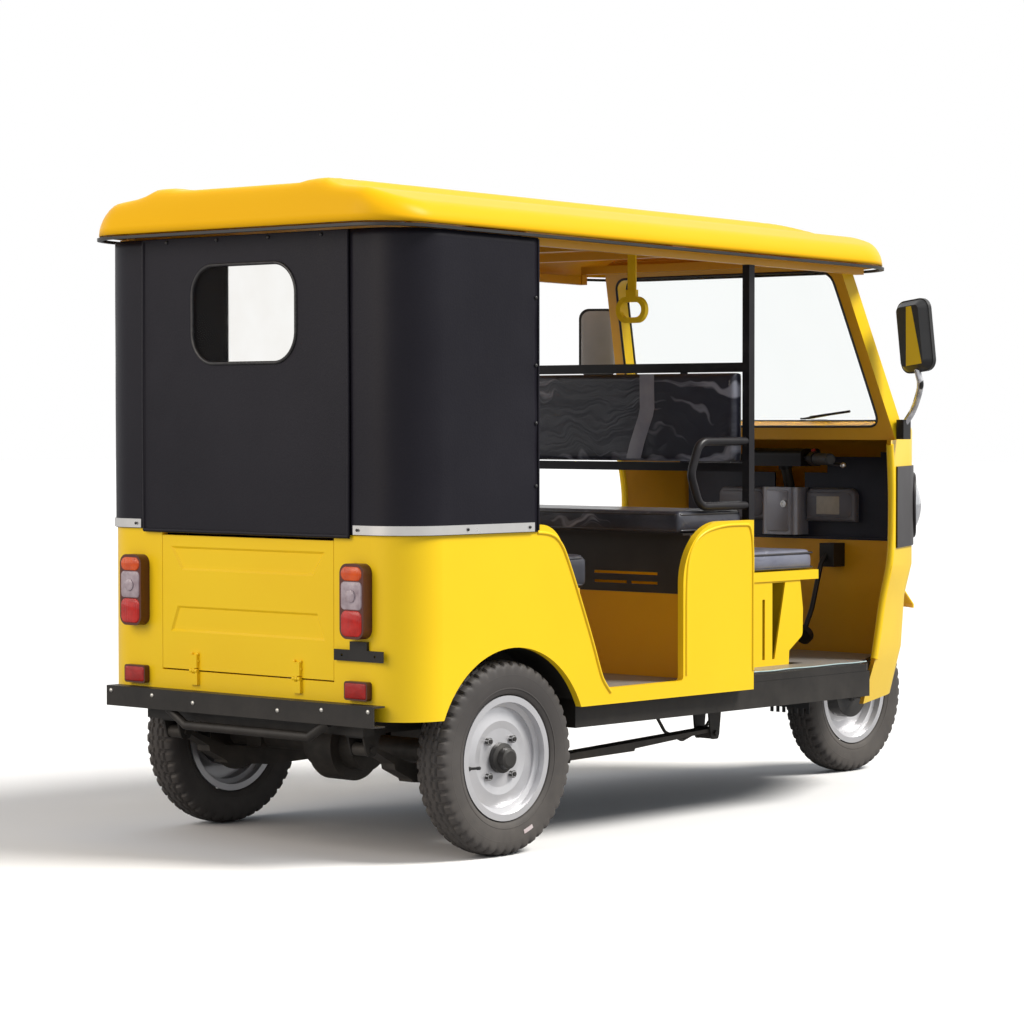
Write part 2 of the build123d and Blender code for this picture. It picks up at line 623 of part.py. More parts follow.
# how far the nose's outer face is moved in at the floor's underside
LOWER_NOSE_INSET = 43.5
floor_inset = LOWER_NOSE_INSET + NOSE_WALL + SEAT_CLEARANCE
floor_front_half = nose_wall_y(FIREWALL_X[0], floor_inset)
floor_mid_half = nose_wall_y(CAB_FLOOR_X + 60, floor_inset)
firewall_half = nose_wall_y(FIREWALL_X[1], floor_inset)
FLOOR_ROWS = [
    (FLOOR_REAR_X, -FLOOR_HALF_REAR, 0),
    (SILL_FRONT_X, -FLOOR_HALF_REAR, 0),
    (SILL_FRONT_X, -FLOOR_HALF_CAB, 0),
    (CAB_FLOOR_X, -FLOOR_HALF_CAB, 0),
    (CAB_FLOOR_X + 60, -floor_mid_half, 0),
    (FIREWALL_X[0] - SEAT_CLEARANCE, -floor_front_half, 0),
    (FIREWALL_X[0] - SEAT_CLEARANCE, floor_front_half, 0),
    (CAB_FLOOR_X + 60, floor_mid_half, 0),
    (CAB_FLOOR_X, FLOOR_HALF_CAB, 0),
    (SILL_FRONT_X, FLOOR_HALF_CAB, 0),
    (SILL_FRONT_X, FLOOR_HALF_REAR, 0),
    (FLOOR_REAR_X, FLOOR_HALF_REAR, 0),
]
FLOOR_TOP_Z = FLOOR_Z + FLOOR_THICKNESS
with BuildPart() as floor:
    add(upward(FLOOR_ROWS, FLOOR_Z, FLOOR_TOP_Z))
write(floor, "floor")

MAT_ROWS = [
    (FLOOR_REAR_X + 20, -560, 0),
    (SIDE_PANEL_X - 20, -560, 0),
    (SIDE_PANEL_X - 20, -540, 0),
    (CAB_FLOOR_X - 10, -540, 0),
    (FIREWALL_X[0] - 40, -floor_front_half + 25, 0),
    (FIREWALL_X[0] - 40, floor_front_half - 25, 0),
    (CAB_FLOOR_X - 10, 540, 0),
    (SIDE_PANEL_X - 20, 540, 0),
    (SIDE_PANEL_X - 20, 560, 0),
    (FLOOR_REAR_X + 20, 560, 0),
]
MAT_TOP_Z = FLOOR_TOP_Z + MAT_THICKNESS
# the mat is cut round the seat boxes: x range of the jump seat box and of the driver's seat box
JUMP_BOX_X = (-236.0, 18.0)
DRIVER_BOX_X = (40.0, 450.0)
DRIVER_BOX_HALF = 430.0
with BuildPart() as floor_mats:
    add(upward(MAT_ROWS, FLOOR_TOP_Z, MAT_TOP_Z))
    block(
        (JUMP_BOX_X[0] - 2, DRIVER_BOX_X[0] + 2), (-700, 700), (FLOOR_TOP_Z - 1, MAT_TOP_Z + 1), Mode.SUBTRACT
    )
    block(
        (DRIVER_BOX_X[0] - 2, DRIVER_BOX_X[1] + 2),
        (-DRIVER_BOX_HALF - 2, DRIVER_BOX_HALF + 2),
        (FLOOR_TOP_Z - 1, MAT_TOP_Z + 1),
        Mode.SUBTRACT,
    )
write(floor_mats, "floor_mats")

# ---------------------------------------------------------------- rear bench
PANEL_GAUGE = 6.0
BENCH_FRONT_X = -740.0
BENCH_DECK_Z = (694.0, 700.0)
BENCH_HALF = 575.0
BENCH_CUSHION_TOP_Z = 790.0
BENCH_BACK_Z = (BENCH_DECK_Z[1] + SEAT_CLEARANCE, 1240.0)
with BuildPart() as bench_box:
    block(
        (BENCH_FRONT_X - PANEL_GAUGE, BENCH_FRONT_X), (-BENCH_HALF, BENCH_HALF), (FLOOR_TOP_Z, BENCH_DECK_Z[1])
    )
    add(
        plan_band(
            BENCH_HALF,
            BODY_REAR_X + BODY_WALL + SEAT_CLEARANCE,
            BODY_CORNER_RADIUS - BODY_WALL - SEAT_CLEARANCE,
            BENCH_FRONT_X,
            *BENCH_DECK_Z,
        )
    )
write(bench_box, "bench_box")

BENCH_CUSHION_X = (-1199.7, BENCH_FRONT_X + 45)
with BuildPart() as bench_cushion:
    block(
        BENCH_CUSHION_X,
        (-BENCH_HALF + 10, BENCH_HALF - 10),
        (BENCH_DECK_Z[1] + SEAT_CLEARANCE, BENCH_CUSHION_TOP_Z),
    )
    fillet(bench_cushion.edges().group_by(Axis.Z)[-1], 22)
write(bench_cushion, "bench_cushion")

# (x, z, corner radius) of the bench back seen from the side
BENCH_BACK_ROWS = [
    (BENCH_CUSHION_X[0] - SEAT_CLEARANCE, BENCH_BACK_Z[0], 0),
    (-1284, BENCH_BACK_Z[1], 0),
    (-1368.9, BENCH_BACK_Z[1], 0),
    (-1282.9, BENCH_BACK_Z[0], 0),
]
with BuildPart() as bench_back:
    add(across(BENCH_BACK_ROWS, -BENCH_HALF + 25, BENCH_HALF - 25))
write(bench_back, "bench_back")

BACK_FRAME_RADIUS = 12.0
with BuildPart() as bench_back_frame:
    for side in (-1, 1):
        frame_y = side * 380
        rod((-1296, frame_y, BENCH_DECK_Z[1]), (-1372, frame_y, BENCH_BACK_Z[1] - 60), BACK_FRAME_RADIUS)
    block((-1400, -1200), (-500, 500), (BENCH_DECK_Z[0], BENCH_DECK_Z[1] + SEAT_CLEARANCE), Mode.SUBTRACT)
    for frame_z in (900.0, 1150.0):
        frame_x = -1296 - (frame_z - BENCH_DECK_Z[1]) * 76 / (BENCH_BACK_Z[1] - 60 - BENCH_DECK_Z[1])
        rod((frame_x, -520, frame_z), (frame_x, 520, frame_z), BACK_FRAME_RADIUS)
write(bench_back_frame, "bench_back_frame")

# ---------------------------------------------------------------- jump seat facing the bench
JUMP_RISER_TOP_Z = 660.0
JUMP_DECK_Z = (828.0, 834.0)
JUMP_CUSHION_TOP_Z = 897.0
JUMP_CUSHION_X = (-284.0, PILLAR_X - PILLAR_SIZE / 2 - 8)
JUMP_HALF = 548.0
SLOT_HALF_HEIGHT = 4.0
# columns: low y, high y, z of each slot
JUMP_SLOTS = [
    (-430.0, -330.0, 688.0),
    (-315.0, -190.0, 688.0),
    (-430.0, -190.0, 715.0),
    (190.0, 315.0, 688.0),
    (330.0, 430.0, 688.0),
    (190.0, 430.0, 715.0),
    (-120.0, 120.0, 688.0),
    (-120.0, 120.0, 715.0),
]
with BuildPart() as jump_seat_riser:
    block((JUMP_BOX_X[0], JUMP_BOX_X[0] + PANEL_GAUGE), (-575, 575), (FLOOR_TOP_Z, JUMP_RISER_TOP_Z))
    block((JUMP_BOX_X[1] - PANEL_GAUGE, JUMP_BOX_X[1]), (-500, 500), (FLOOR_TOP_Z, JUMP_RISER_TOP_Z))
    block((JUMP_BOX_X[0], JUMP_BOX_X[1]), (-500, 500), (JUMP_RISER_TOP_Z - PANEL_GAUGE, JUMP_RISER_TOP_Z))
write(jump_seat_riser, "jump_seat_riser")

with BuildPart() as jump_seat_panel:
    block(
        (JUMP_BOX_X[0], JUMP_BOX_X[0] + 4),
        (-JUMP_HALF, JUMP_HALF),
        (JUMP_RISER_TOP_Z + SEAT_CLEARANCE, JUMP_DECK_Z[1]),
    )
    block((JUMP_BOX_X[0] - 30, JUMP_CUSHION_X[1]), (-JUMP_HALF, JUMP_HALF), JUMP_DECK_Z)
    for slot_low, slot_high, slot_z in JUMP_SLOTS:
        block(
            (JUMP_BOX_X[0] - 5, JUMP_BOX_X[0] + 10),
            (slot_low, slot_high),
            (slot_z - SLOT_HALF_HEIGHT, slot_z + SLOT_HALF_HEIGHT),
            Mode.SUBTRACT,
        )
write(jump_seat_panel, "jump_seat_panel")

with BuildPart() as jump_seat_cushion:
    block(JUMP_CUSHION_X, (-JUMP_HALF, JUMP_HALF), (JUMP_DECK_Z[1] + SEAT_CLEARANCE, JUMP_CUSHION_TOP_Z))
    fillet(jump_seat_cushion.edges().group_by(Axis.Z)[-1], 18)
write(jump_seat_cushion, "jump_seat_cushion")

with BuildPart() as battery_box:
    block(
        (JUMP_BOX_X[0] + PANEL_GAUGE + 4, JUMP_BOX_X[1] - PANEL_GAUGE - 4),
        (-440, 440),
        (FLOOR_TOP_Z, JUMP_RISER_TOP_Z - PANEL_GAUGE - 10),
    )
write(battery_box, "battery_box")

# ---------------------------------------------------------------- driver's seat
SEAT_RIM_Z = (673.0, 701.0)
SEAT_CUSHION_Z = (SEAT_RIM_Z[1] + SEAT_CLEARANCE, 762.0)
SEAT_CUSHION_X = (66.0, 528.0)
SEAT_CUSHION_HALF = 424.0
# (x, z, corner radius): open side of the seat box ahead of the slotted plate
SIDE_GAP_ROWS = [
    (301, 440, 0),
    (301, SEAT_RIM_Z[0] - 5, 0),
    (364, SEAT_RIM_Z[0] - 5, 0),
    (312, 440, 0),
]
# (x, z, corner radius) of one side plate of the seat box
SIDE_PLATE_ROWS = [
    (DRIVER_BOX_X[0], FLOOR_TOP_Z, 0),
    (382, FLOOR_TOP_Z, 0),
    (384, 462, 0),
    (450, 505, 20),
    (452, 585, 0),
    (438, SEAT_RIM_Z[0], 0),
    (DRIVER_BOX_X[0], SEAT_RIM_Z[0], 0),
]
SIDE_SLOT = ((253, 265), (440, 620))
FRONT_PLATE_X = (366.0, 372.0)
RIM_X = (42.0, 524.0)
RIM_HALF = 434.0
with BuildPart() as driver_seat_base:
    for side in (-1, 1):
        plate_y = sorted((side * (DRIVER_BOX_HALF - PANEL_GAUGE), side * DRIVER_BOX_HALF))
        add(across(SIDE_PLATE_ROWS, *plate_y))
    add(across(SIDE_GAP_ROWS, -DRIVER_BOX_HALF - 5, DRIVER_BOX_HALF + 5), mode=Mode.SUBTRACT)
    block(SIDE_SLOT[0], (-DRIVER_BOX_HALF - 5, DRIVER_BOX_HALF + 5), SIDE_SLOT[1], Mode.SUBTRACT)
    inner_seat_half = DRIVER_BOX_HALF - PANEL_GAUGE
    for plate_x in ((DRIVER_BOX_X[0], DRIVER_BOX_X[0] + PANEL_GAUGE), FRONT_PLATE_X):
        block(plate_x, (-inner_seat_half, inner_seat_half), (FLOOR_TOP_Z, SEAT_RIM_Z[0]))
    block(RIM_X, (-RIM_HALF, RIM_HALF), SEAT_RIM_Z)
    block(
        (RIM_X[0] + PANEL_GAUGE + 20, RIM_X[1] - PANEL_GAUGE),
        (-RIM_HALF + 20, RIM_HALF - 20),
        (SEAT_RIM_Z[0] - 1, SEAT_RIM_Z[1] + 1),
        Mode.SUBTRACT,
    )
write(driver_seat_base, "driver_seat_base")

with BuildPart() as driver_seat_cushion:
    block(SEAT_CUSHION_X, (-SEAT_CUSHION_HALF, SEAT_CUSHION_HALF), SEAT_CUSHION_Z)
    fillet(driver_seat_cushion.edges().filter_by(Axis.Z), 40)
    fillet(driver_seat_cushion.edges().group_by(Axis.Z)[-1], 24)
write(driver_seat_cushion, "driver_seat_cushion")

# ---------------------------------------------------------------- pillars, backrest frame, grab handles
RAIL_SIZE = 25.0
FLANGE_DROP = 5.0
RAIL_DROP = FLANGE_DROP + SEAT_CLEARANCE
BACK_BAR_Z = (1293.0, 1320.0)
LOWER_BAR_Z = (1005.0, 1030.0)
pillar_face_x = (PILLAR_X - PILLAR_SIZE / 2, PILLAR_X + PILLAR_SIZE / 2)
PILLAR_TOP_Z = lip_z(pillar_face_x[1]) - RAIL_DROP - RAIL_SIZE - SEAT_CLEARANCE
with BuildPart() as pillar_frame:
    for side in (-1, 1):
        pillar_y = (side * PILLAR_Y - PILLAR_SIZE / 2, side * PILLAR_Y + PILLAR_SIZE / 2)
        block(pillar_face_x, pillar_y, (FLOOR_TOP_Z, PILLAR_TOP_Z))
    inner_half = PILLAR_Y - PILLAR_SIZE / 2
    block(pillar_face_x, (-inner_half, inner_half), BACK_BAR_Z)
    block(pillar_face_x, (-inner_half, inner_half), LOWER_BAR_Z)
    for side in (-1, 1):
        block(
            (PILLAR_X - 2, PILLAR_X + 2),
            sorted((side * 300, side * 325)),
            (LOWER_BAR_Z[1], BACK_BAR_Z[0]),
        )
write(pillar_frame, "pillar_frame")

with BuildPart() as backrest_cushion:
    block(
        (PILLAR_X - 46, PILLAR_X - 2 - SEAT_CLEARANCE),
        (-inner_half + 4, inner_half - 4),
        (LOWER_BAR_Z[1] + 2, BACK_BAR_Z[0] - 2),
    )
    fillet(backrest_cushion.edges().group_by(Axis.X)[0], 14)
write(backrest_cushion, "backrest_cushion")

GRAB_RADIUS = 12.0
GRAB_Z = (908.0, 1093.0)
GRAB_REACH_X = -236.0
with BuildPart() as grab_handles:
    for side in (-1, 1):
        grab_end = pillar_face_x[0] - SEAT_CLEARANCE
        add(
            bent_tube(
                [
                    (grab_end, side * PILLAR_Y, GRAB_Z[0]),
                    (GRAB_REACH_X + 40, side * PILLAR_Y, GRAB_Z[0]),
                    (GRAB_REACH_X, side * PILLAR_Y, (GRAB_Z[0] + GRAB_Z[1]) / 2),
                    (GRAB_REACH_X + 40, side * PILLAR_Y, GRAB_Z[1]),
                    (grab_end, side * PILLAR_Y, GRAB_Z[1]),
                ],
                GRAB_RADIUS,
                45,
            )
        )
write(grab_handles, "grab_handles")

# ---------------------------------------------------------------- roof
# (y, z, corner radius) half section of the roof skin above the lip at the rear, from centre to side
ROOF_HALF_SECTION = [
    (0, 112, 0),
    (240, 112, 12),
    (268, 124, 12),
    (336, 124, 12),
    (368, 100, 14),
    (490, 88, 60),
    (590, 48, 30),
    (ROOF_HALF_WIDTH, 0, 0),
    (ROOF_HALF_WIDTH, -60, 0),
]
# (x, height above the lip at the rear, corner radius) of the roof along the middle
ROOF_PROFILE = [
    (ROOF_REAR_X, -60, 0),
    (ROOF_REAR_X, 2, 0),
    (ROOF_REAR_X + 14, 70, 40),
    (ROOF_REAR_X + 60, 126, 50),
    (100, 100, 0),
    (420, 90, 120),
    (600, 62, 90),
    (710, 0, 40),
    (ROOF_FRONT_X, -47, 0),
    (ROOF_FRONT_X, -110, 0),
]
ROOF_PLAN_REAR_RADIUS = 150.0
ROOF_PLAN_FRONT_RADIUS = 210.0


def roof_block(inset):
    """Solid under the roof skin, with every face moved in by an inset."""
    half_rows = [(y, z - inset if y < 560 else z, r) for y, z, r in ROOF_HALF_SECTION]
    section = [(y - (inset if y > 560 else 0), z, max(r - inset, 4) if r else 0) for y, z, r in half_rows]
    left = [(-y, z, r) for y, z, r in reversed(section[1:])]
    profile = [
        (
            min(max(x, ROOF_REAR_X + inset), ROOF_FRONT_X - inset), z - (inset if z > -50 else 0), max(r - inset, 0)
        )
        for x, z, r in ROOF_PROFILE
    ]
    half = ROOF_HALF_WIDTH - inset
    plan = [
        (ROOF_REAR_X + inset, -half, ROOF_PLAN_REAR_RADIUS - inset),
        (ROOF_FRONT_X - inset, -half, ROOF_PLAN_FRONT_RADIUS - inset),
        (ROOF_FRONT_X - inset, half, ROOF_PLAN_FRONT_RADIUS - inset),
        (ROOF_REAR_X + inset, half, ROOF_PLAN_REAR_RADIUS - inset),
    ]
    with BuildPart() as roof_solid:
        with BuildSketch(Plane.YZ.offset(ROOF_REAR_X - 10)):
            add(outline([(y, LIP_REAR_Z + z, r) for y, z, r in left + section]))
        extrude(amount=ROOF_FRONT_X - ROOF_REAR_X + 60, dir=(1, 0, -LIP_SLOPE))
        add(across([(x, LIP_REAR_Z + z, r) for x, z, r in profile], -700, 700), mode=Mode.INTERSECT)
        add(upward(plan, LIP_REAR_Z - 200, LIP_REAR_Z + 200), mode=Mode.INTERSECT)
    return roof_solid.part


def lip_band(top_drop, bottom_drop):
    """Slab that follows the roof's lower edge, between two drops below it."""
    rows = [
        (ROOF_REAR_X - 50, lip_z(ROOF_REAR_X - 50) - top_drop, 0),
        (ROOF_FRONT_X + 50, lip_z(ROOF_FRONT_X + 50) - top_drop, 0),
        (ROOF_FRONT_X + 50, lip_z(ROOF_FRONT_X + 50) - bottom_drop, 0),
        (ROOF_REAR_X - 50, lip_z(ROOF_REAR_X - 50) - bottom_drop, 0),
    ]
    return across(rows, -700, 700)


def roof_ring(outset, width):
    """Band in plan along the roof's edge."""
    with BuildPart() as ring:
        for grow, mode in ((outset, Mode.ADD), (outset - width, Mode.SUBTRACT)):
            half = ROOF_HALF_WIDTH + grow
            rows = [
                (ROOF_REAR_X - grow, -half, ROOF_PLAN_REAR_RADIUS + grow),
                (ROOF_FRONT_X + grow, -half, ROOF_PLAN_FRONT_RADIUS + grow),
                (ROOF_FRONT_X + grow, half, ROOF_PLAN_FRONT_RADIUS + grow),
                (ROOF_REAR_X - grow, half, ROOF_PLAN_REAR_RADIUS + grow),
            ]
            add(upward(rows, LIP_REAR_Z - 150, LIP_REAR_Z + 150), mode=mode)
    return ring.part


FLANGE_WIDTH = 66.0
with BuildPart() as roof_shell:
    add(roof_block(0))
    add(roof_block(ROOF_WALL), mode=Mode.SUBTRACT)
    add(lip_band(0, 400), mode=Mode.SUBTRACT)
roof_flange = roof_ring(0, FLANGE_WIDTH) & lip_band(0, FLANGE_DROP)
with BuildPart() as roof_with_flange:
    add(roof_shell.part)
    add(roof_flange)
write(roof_with_flange, "roof_shell")

EDGING_DROP = 13.0
with BuildPart() as roof_edging:
    add(roof_ring(5, 14))
    add(lip_band(RAIL_DROP, EDGING_DROP), mode=Mode.INTERSECT)
write(roof_edging, "roof_edging")

ROOF_FRAME_X = (-1384.0, 572.7)
# stations of the cross bars inside the roof
ROOF_BARS_X = (ROOF_FRAME_X[0] + 16, -930.0, -313.0, PILLAR_X, ROOF_FRAME_X[1] - 12)
BAR_LIFT = 2.0
rail_inner_y = PILLAR_Y - RAIL_SIZE / 2
with BuildPart() as roof_rails:
    for side in (-1, 1):
        rail_y = (side * PILLAR_Y - RAIL_SIZE / 2, side * PILLAR_Y + RAIL_SIZE / 2)
        block(ROOF_FRAME_X, rail_y, (LIP_REAR_Z - 250, LIP_REAR_Z + 120))
    add(lip_band(RAIL_DROP, RAIL_DROP + RAIL_SIZE), mode=Mode.INTERSECT)
with BuildPart() as roof_bars:
    for bar_x in ROOF_BARS_X:
        block(
            (bar_x - 12, bar_x + 12), (-rail_inner_y - 1, rail_inner_y + 1), (LIP_REAR_Z - 250, LIP_REAR_Z + 120)
        )
    add(lip_band(-BAR_LIFT - RAIL_SIZE, RAIL_DROP + RAIL_SIZE), mode=Mode.INTERSECT)
with BuildPart() as roof_bar_relief:
    add(lip_band(-BAR_LIFT, 300))
    block((-1500, 800), (-800, -535), (1300, 1900), Mode.SUBTRACT)
    block((-1500, 800), (535, 800), (1300, 1900), Mode.SUBTRACT)
with BuildPart() as roof_frame:
    add(roof_rails.part)
    add(roof_bars.part)
    add(roof_bar_relief.part, mode=Mode.SUBTRACT)
write(roof_frame, "roof_frame")

# ---------------------------------------------------------------- grab straps
STRAP_BAR_X = -313.0
STRAP_Y = 400.0
STRAP_WIDTH = 30.0
STRAP_RING = (110.0, 75.0, 16.0)
STRAP_RING_Z = 1467.0
strap_top_z = lip_z(STRAP_BAR_X + 12) + BAR_LIFT - SEAT_CLEARANCE
with BuildPart() as grab_straps:
    for side in (-1, 1):
        strap_y = side * STRAP_Y
        with BuildSketch(
            Plane(origin=(STRAP_BAR_X - 7, strap_y, STRAP_RING_Z), x_dir=(0, 1, 0), z_dir=(1, 0, 0))
        ):
            SlotOverall(STRAP_RING[0], STRAP_RING[1])
            SlotOverall(
                STRAP_RING[0] - 2 * STRAP_RING[2], STRAP_RING[1] - 2 * STRAP_RING[2], mode=Mode.SUBTRACT
            )
        extrude(amount=14)
        ring_top = STRAP_RING_Z + STRAP_RING[1] / 2 - 3
        block(
            (STRAP_BAR_X - 2, STRAP_BAR_X + 2),
            (strap_y - STRAP_WIDTH / 2, strap_y + STRAP_WIDTH / 2),
            (ring_top, strap_top_z),
        )
        block(
            (STRAP_BAR_X - 6, STRAP_BAR_X + 6),
            (strap_y - STRAP_WIDTH / 2 - 3, strap_y + STRAP_WIDTH / 2 + 3),
            (ring_top, ring_top + 22),
        )
write(grab_straps, "grab_straps")

# ---------------------------------------------------------------- canvas sides, rear flap and trim
CANVAS_OUTER = (
    BODY_HALF_WIDTH + SEAT_CLEARANCE + CANVAS_THICKNESS, BODY_REAR_X - SEAT_CLEARANCE - CANVAS_THICKNESS
)
CANVAS_INNER_END_Y = 395.0


def wrap_band(outset, thickness, z_low, z_high, front_x, inner_y):
    """Band that wraps both rear corners of the body, open at the front and at the middle of the back."""
    with BuildPart() as band:
        add(
            plan_band(
                BODY_HALF_WIDTH + outset + thickness,
                BODY_REAR_X - outset - thickness,
                BODY_CORNER_RADIUS + outset + thickness,
                front_x,
                z_low,
                z_high,
            )
        )
        add(
            plan_band(
                BODY_HALF_WIDTH + outset,
                BODY_REAR_X - outset,
                BODY_CORNER_RADIUS + outset,
                front_x + 5,
                z_low - 5,
                z_high + 5,
            ),
            mode=Mode.SUBTRACT,
        )
        block(
            (BODY_REAR_X - 50, BODY_REAR_X + 50), (-inner_y, inner_y), (z_low - 5, z_high + 5), Mode.SUBTRACT
        )
    return band.part


CANVAS_TOP_DROP = EDGING_DROP + SEAT_CLEARANCE
with BuildPart() as canvas_sides:
    add(
        wrap_band(
            SEAT_CLEARANCE, CANVAS_THICKNESS, CANVAS_BOTTOM_Z, LIP_REAR_Z + 20, CANVAS_FRONT_X, CANVAS_INNER_END_Y
        )
    )
    add(lip_band(-100, CANVAS_TOP_DROP), mode=Mode.SUBTRACT)
write(canvas_sides, "canvas_sides")

FLAP_X = (CANVAS_OUTER[1] - SEAT_CLEARANCE - CANVAS_THICKNESS, CANVAS_OUTER[1] - SEAT_CLEARANCE)
FLAP_WINDOW_Y = (-199.0, 193.0)
FLAP_WINDOW_Z = (1312.0, 1566.0)
FLAP_WINDOW_CORNER = 78.0
FLAP_RIM = 9.0
window_centre = ((FLAP_WINDOW_Y[0] + FLAP_WINDOW_Y[1]) / 2, (FLAP_WINDOW_Z[0] + FLAP_WINDOW_Z[1]) / 2)
window_size = (FLAP_WINDOW_Y[1] - FLAP_WINDOW_Y[0], FLAP_WINDOW_Z[1] - FLAP_WINDOW_Z[0])


def window_block(grow, x_low, x_high):
    """Rounded window outline of the rear flap, grown all round, as a slab between two stations."""
    with BuildPart() as slab:
        with BuildSketch(Plane(origin=(x_low, *window_centre), x_dir=(0, 1, 0), z_dir=(1, 0, 0))):
            RectangleRounded(
                window_size[0] + 2 * grow, window_size[1] + 2 * grow, FLAP_WINDOW_CORNER + grow
            )
        extrude(amount=x_high - x_low)
    return slab.part


with BuildPart() as rear_flap:
    block(FLAP_X, (-FLAP_HALF_WIDTH, FLAP_HALF_WIDTH), (FLAP_BOTTOM_Z, lip_z(FLAP_X[1]) - CANVAS_TOP_DROP))
    add(window_block(FLAP_RIM, FLAP_X[0] - 3, FLAP_X[0] + 1))
    add(window_block(0, FLAP_X[0] - 10, FLAP_X[1] + 5), mode=Mode.SUBTRACT)
    block(
        (FLAP_X[0] - 2, FLAP_X[0] + 1), (-FLAP_HALF_WIDTH, FLAP_HALF_WIDTH), (FLAP_BOTTOM_Z, FLAP_BOTTOM_Z + 14)
    )
write(rear_flap, "rear_flap")

PANE_THICKNESS = 2.0
with BuildPart() as rear_window_pane:
    add(window_block(10, FLAP_X[1] + SEAT_CLEARANCE, FLAP_X[1] + SEAT_CLEARANCE + PANE_THICKNESS))
write(rear_window_pane, "rear_window_pane")

TRIM_Z = (860.0, 884.0)
TRIM_FRONT_X = -960.0
with BuildPart() as canvas_trim:
    add(wrap_band(2 * SEAT_CLEARANCE + CANVAS_THICKNESS, 3, *TRIM_Z, TRIM_FRONT_X, FLAP_HALF_WIDTH + 12))
write(canvas_trim, "canvas_trim")

# ---------------------------------------------------------------- windscreen
SCREEN_SLOPE = 600.0
SCREEN_DEPTH = 25.0
SCREEN_FOOT = (790.0, 0.0, 1100.0)
SCREEN_LEAN = 19.2
SCREEN_HALF_FOOT = 545.0
SCREEN_HALF_TOP = 461.0
# (y, distance up the slope, corner radius)
SCREEN_ROWS = [
    (-SCREEN_HALF_FOOT, 0, 0),
    (SCREEN_HALF_FOOT, 0, 0),
    (SCREEN_HALF_TOP, SCREEN_SLOPE, 45),
    (-SCREEN_HALF_TOP, SCREEN_SLOPE, 45),
]
OPENING_ROWS = [
    (-496, 44, 25),
    (496, 44, 25),
    (427, 543, 60),
    (-427, 543, 60),
]
GLASS_ROWS = [
    (-514, 48, 20),
    (514, 48, 20),
    (440, 566, 60),
    (-440, 566, 60),
]
lean = math.radians(SCREEN_LEAN)
screen_normal = Vector(math.cos(lean), 0, math.sin(lean))


def screen_slab(rows, low, high):
    """Slab of a windscreen outline between two depths measured forward from its middle plane."""
    with BuildPart() as slab:
        origin = Vector(*SCREEN_FOOT) + screen_normal * low
        with BuildSketch(Plane(origin=origin, x_dir=(0, 1, 0), z_dir=screen_normal)):
            add(outline(rows))
        extrude(amount=high - low)
    return slab.part


with BuildPart() as windscreen_frame:
    add(screen_slab(SCREEN_ROWS, -SCREEN_DEPTH, SCREEN_DEPTH))
    add(screen_slab(OPENING_ROWS, -SCREEN_DEPTH - 5, SCREEN_DEPTH + 5), mode=Mode.SUBTRACT)
write(windscreen_frame, "windscreen_frame")

GLASS_THICKNESS = 5.0
glass_back = SCREEN_DEPTH + SEAT_CLEARANCE
with BuildPart() as windscreen_glass:
    add(screen_slab(GLASS_ROWS, glass_back, glass_back + GLASS_THICKNESS))
write(windscreen_glass, "windscreen_glass")

# ---------------------------------------------------------------- nose
# (height, how far the outer face is moved in at that height)
NOSE_SECTIONS = [
    (290.0, 68.0),
    (440.0, 33.0),
    (600.0, 23.0),
    (700.0, 0.0),
    (1200.0, 0.0),
]
NOSE_BACK_X = 600.0


def nose_plan(inset, z):
    """Closed plan outline of the nose at a height, moved in by an inset."""
    radius = NOSE_RADIUS - inset
    half_arc = math.radians(90 - NOSE_WALL_ANGLE)
    tangent = (NOSE_CENTRE_X + radius * math.cos(half_arc), radius * math.sin(half_arc))
    back_y = tangent[1] + (tangent[0] - NOSE_BACK_X) * math.tan(math.radians(NOSE_WALL_ANGLE))
    with BuildSketch(Plane.XY.offset(z)) as plan:
        with BuildLine():
            Line((NOSE_BACK_X, -back_y), (tangent[0], -tangent[1]))
            ThreePointArc((tangent[0], -tangent[1]), (NOSE_CENTRE_X + radius, 0), tangent)
            Line(tangent, (NOSE_BACK_X, back_y))
            Line((NOSE_BACK_X, back_y), (NOSE_BACK_X, -back_y))
        make_face()
    return plan.sketch


def nose_loft(rows):
    """Block ruled through plan outlines given as (height, inset) rows."""
    with BuildPart() as lofted:
        for low_row, high_row in zip(rows[:-1], rows[1:]):
            loft(
                sections=[nose_plan(low_row[1], low_row[0]), nose_plan(high_row[1], high_row[0])], ruled=True
            )
    return lofted.part


# (x, z, corner radius) of the hood seen from the side: the line it is cut back to
HOOD_ROWS = [
    (NOSE_BACK_X - 10, 1091.4, 0),
    (766.0, 1091.4, 0),
    (814.0, 1108.0, 0),
    (803.2, 1140, 0),
    (980, 1135, 0),
    (1180, 1092, 160),
    (1245, 1040, 60),
    (1268, 960, 0),
    (1300, 900, 0),
    (1300, 200, 0),
    (NOSE_BACK_X - 10, 200, 0),
]
HOOD_INNER_ROWS = [
    (NOSE_BACK_X - 10, 1120, 0),
    (980, 1121, 0),
    (1174, 1079, 150),
    (1234, 1032, 50),
    (1256, 950, 0),
    (1300, 880, 0),
    (1300, 200, 0),
    (NOSE_BACK_X - 10, 200, 0),
]
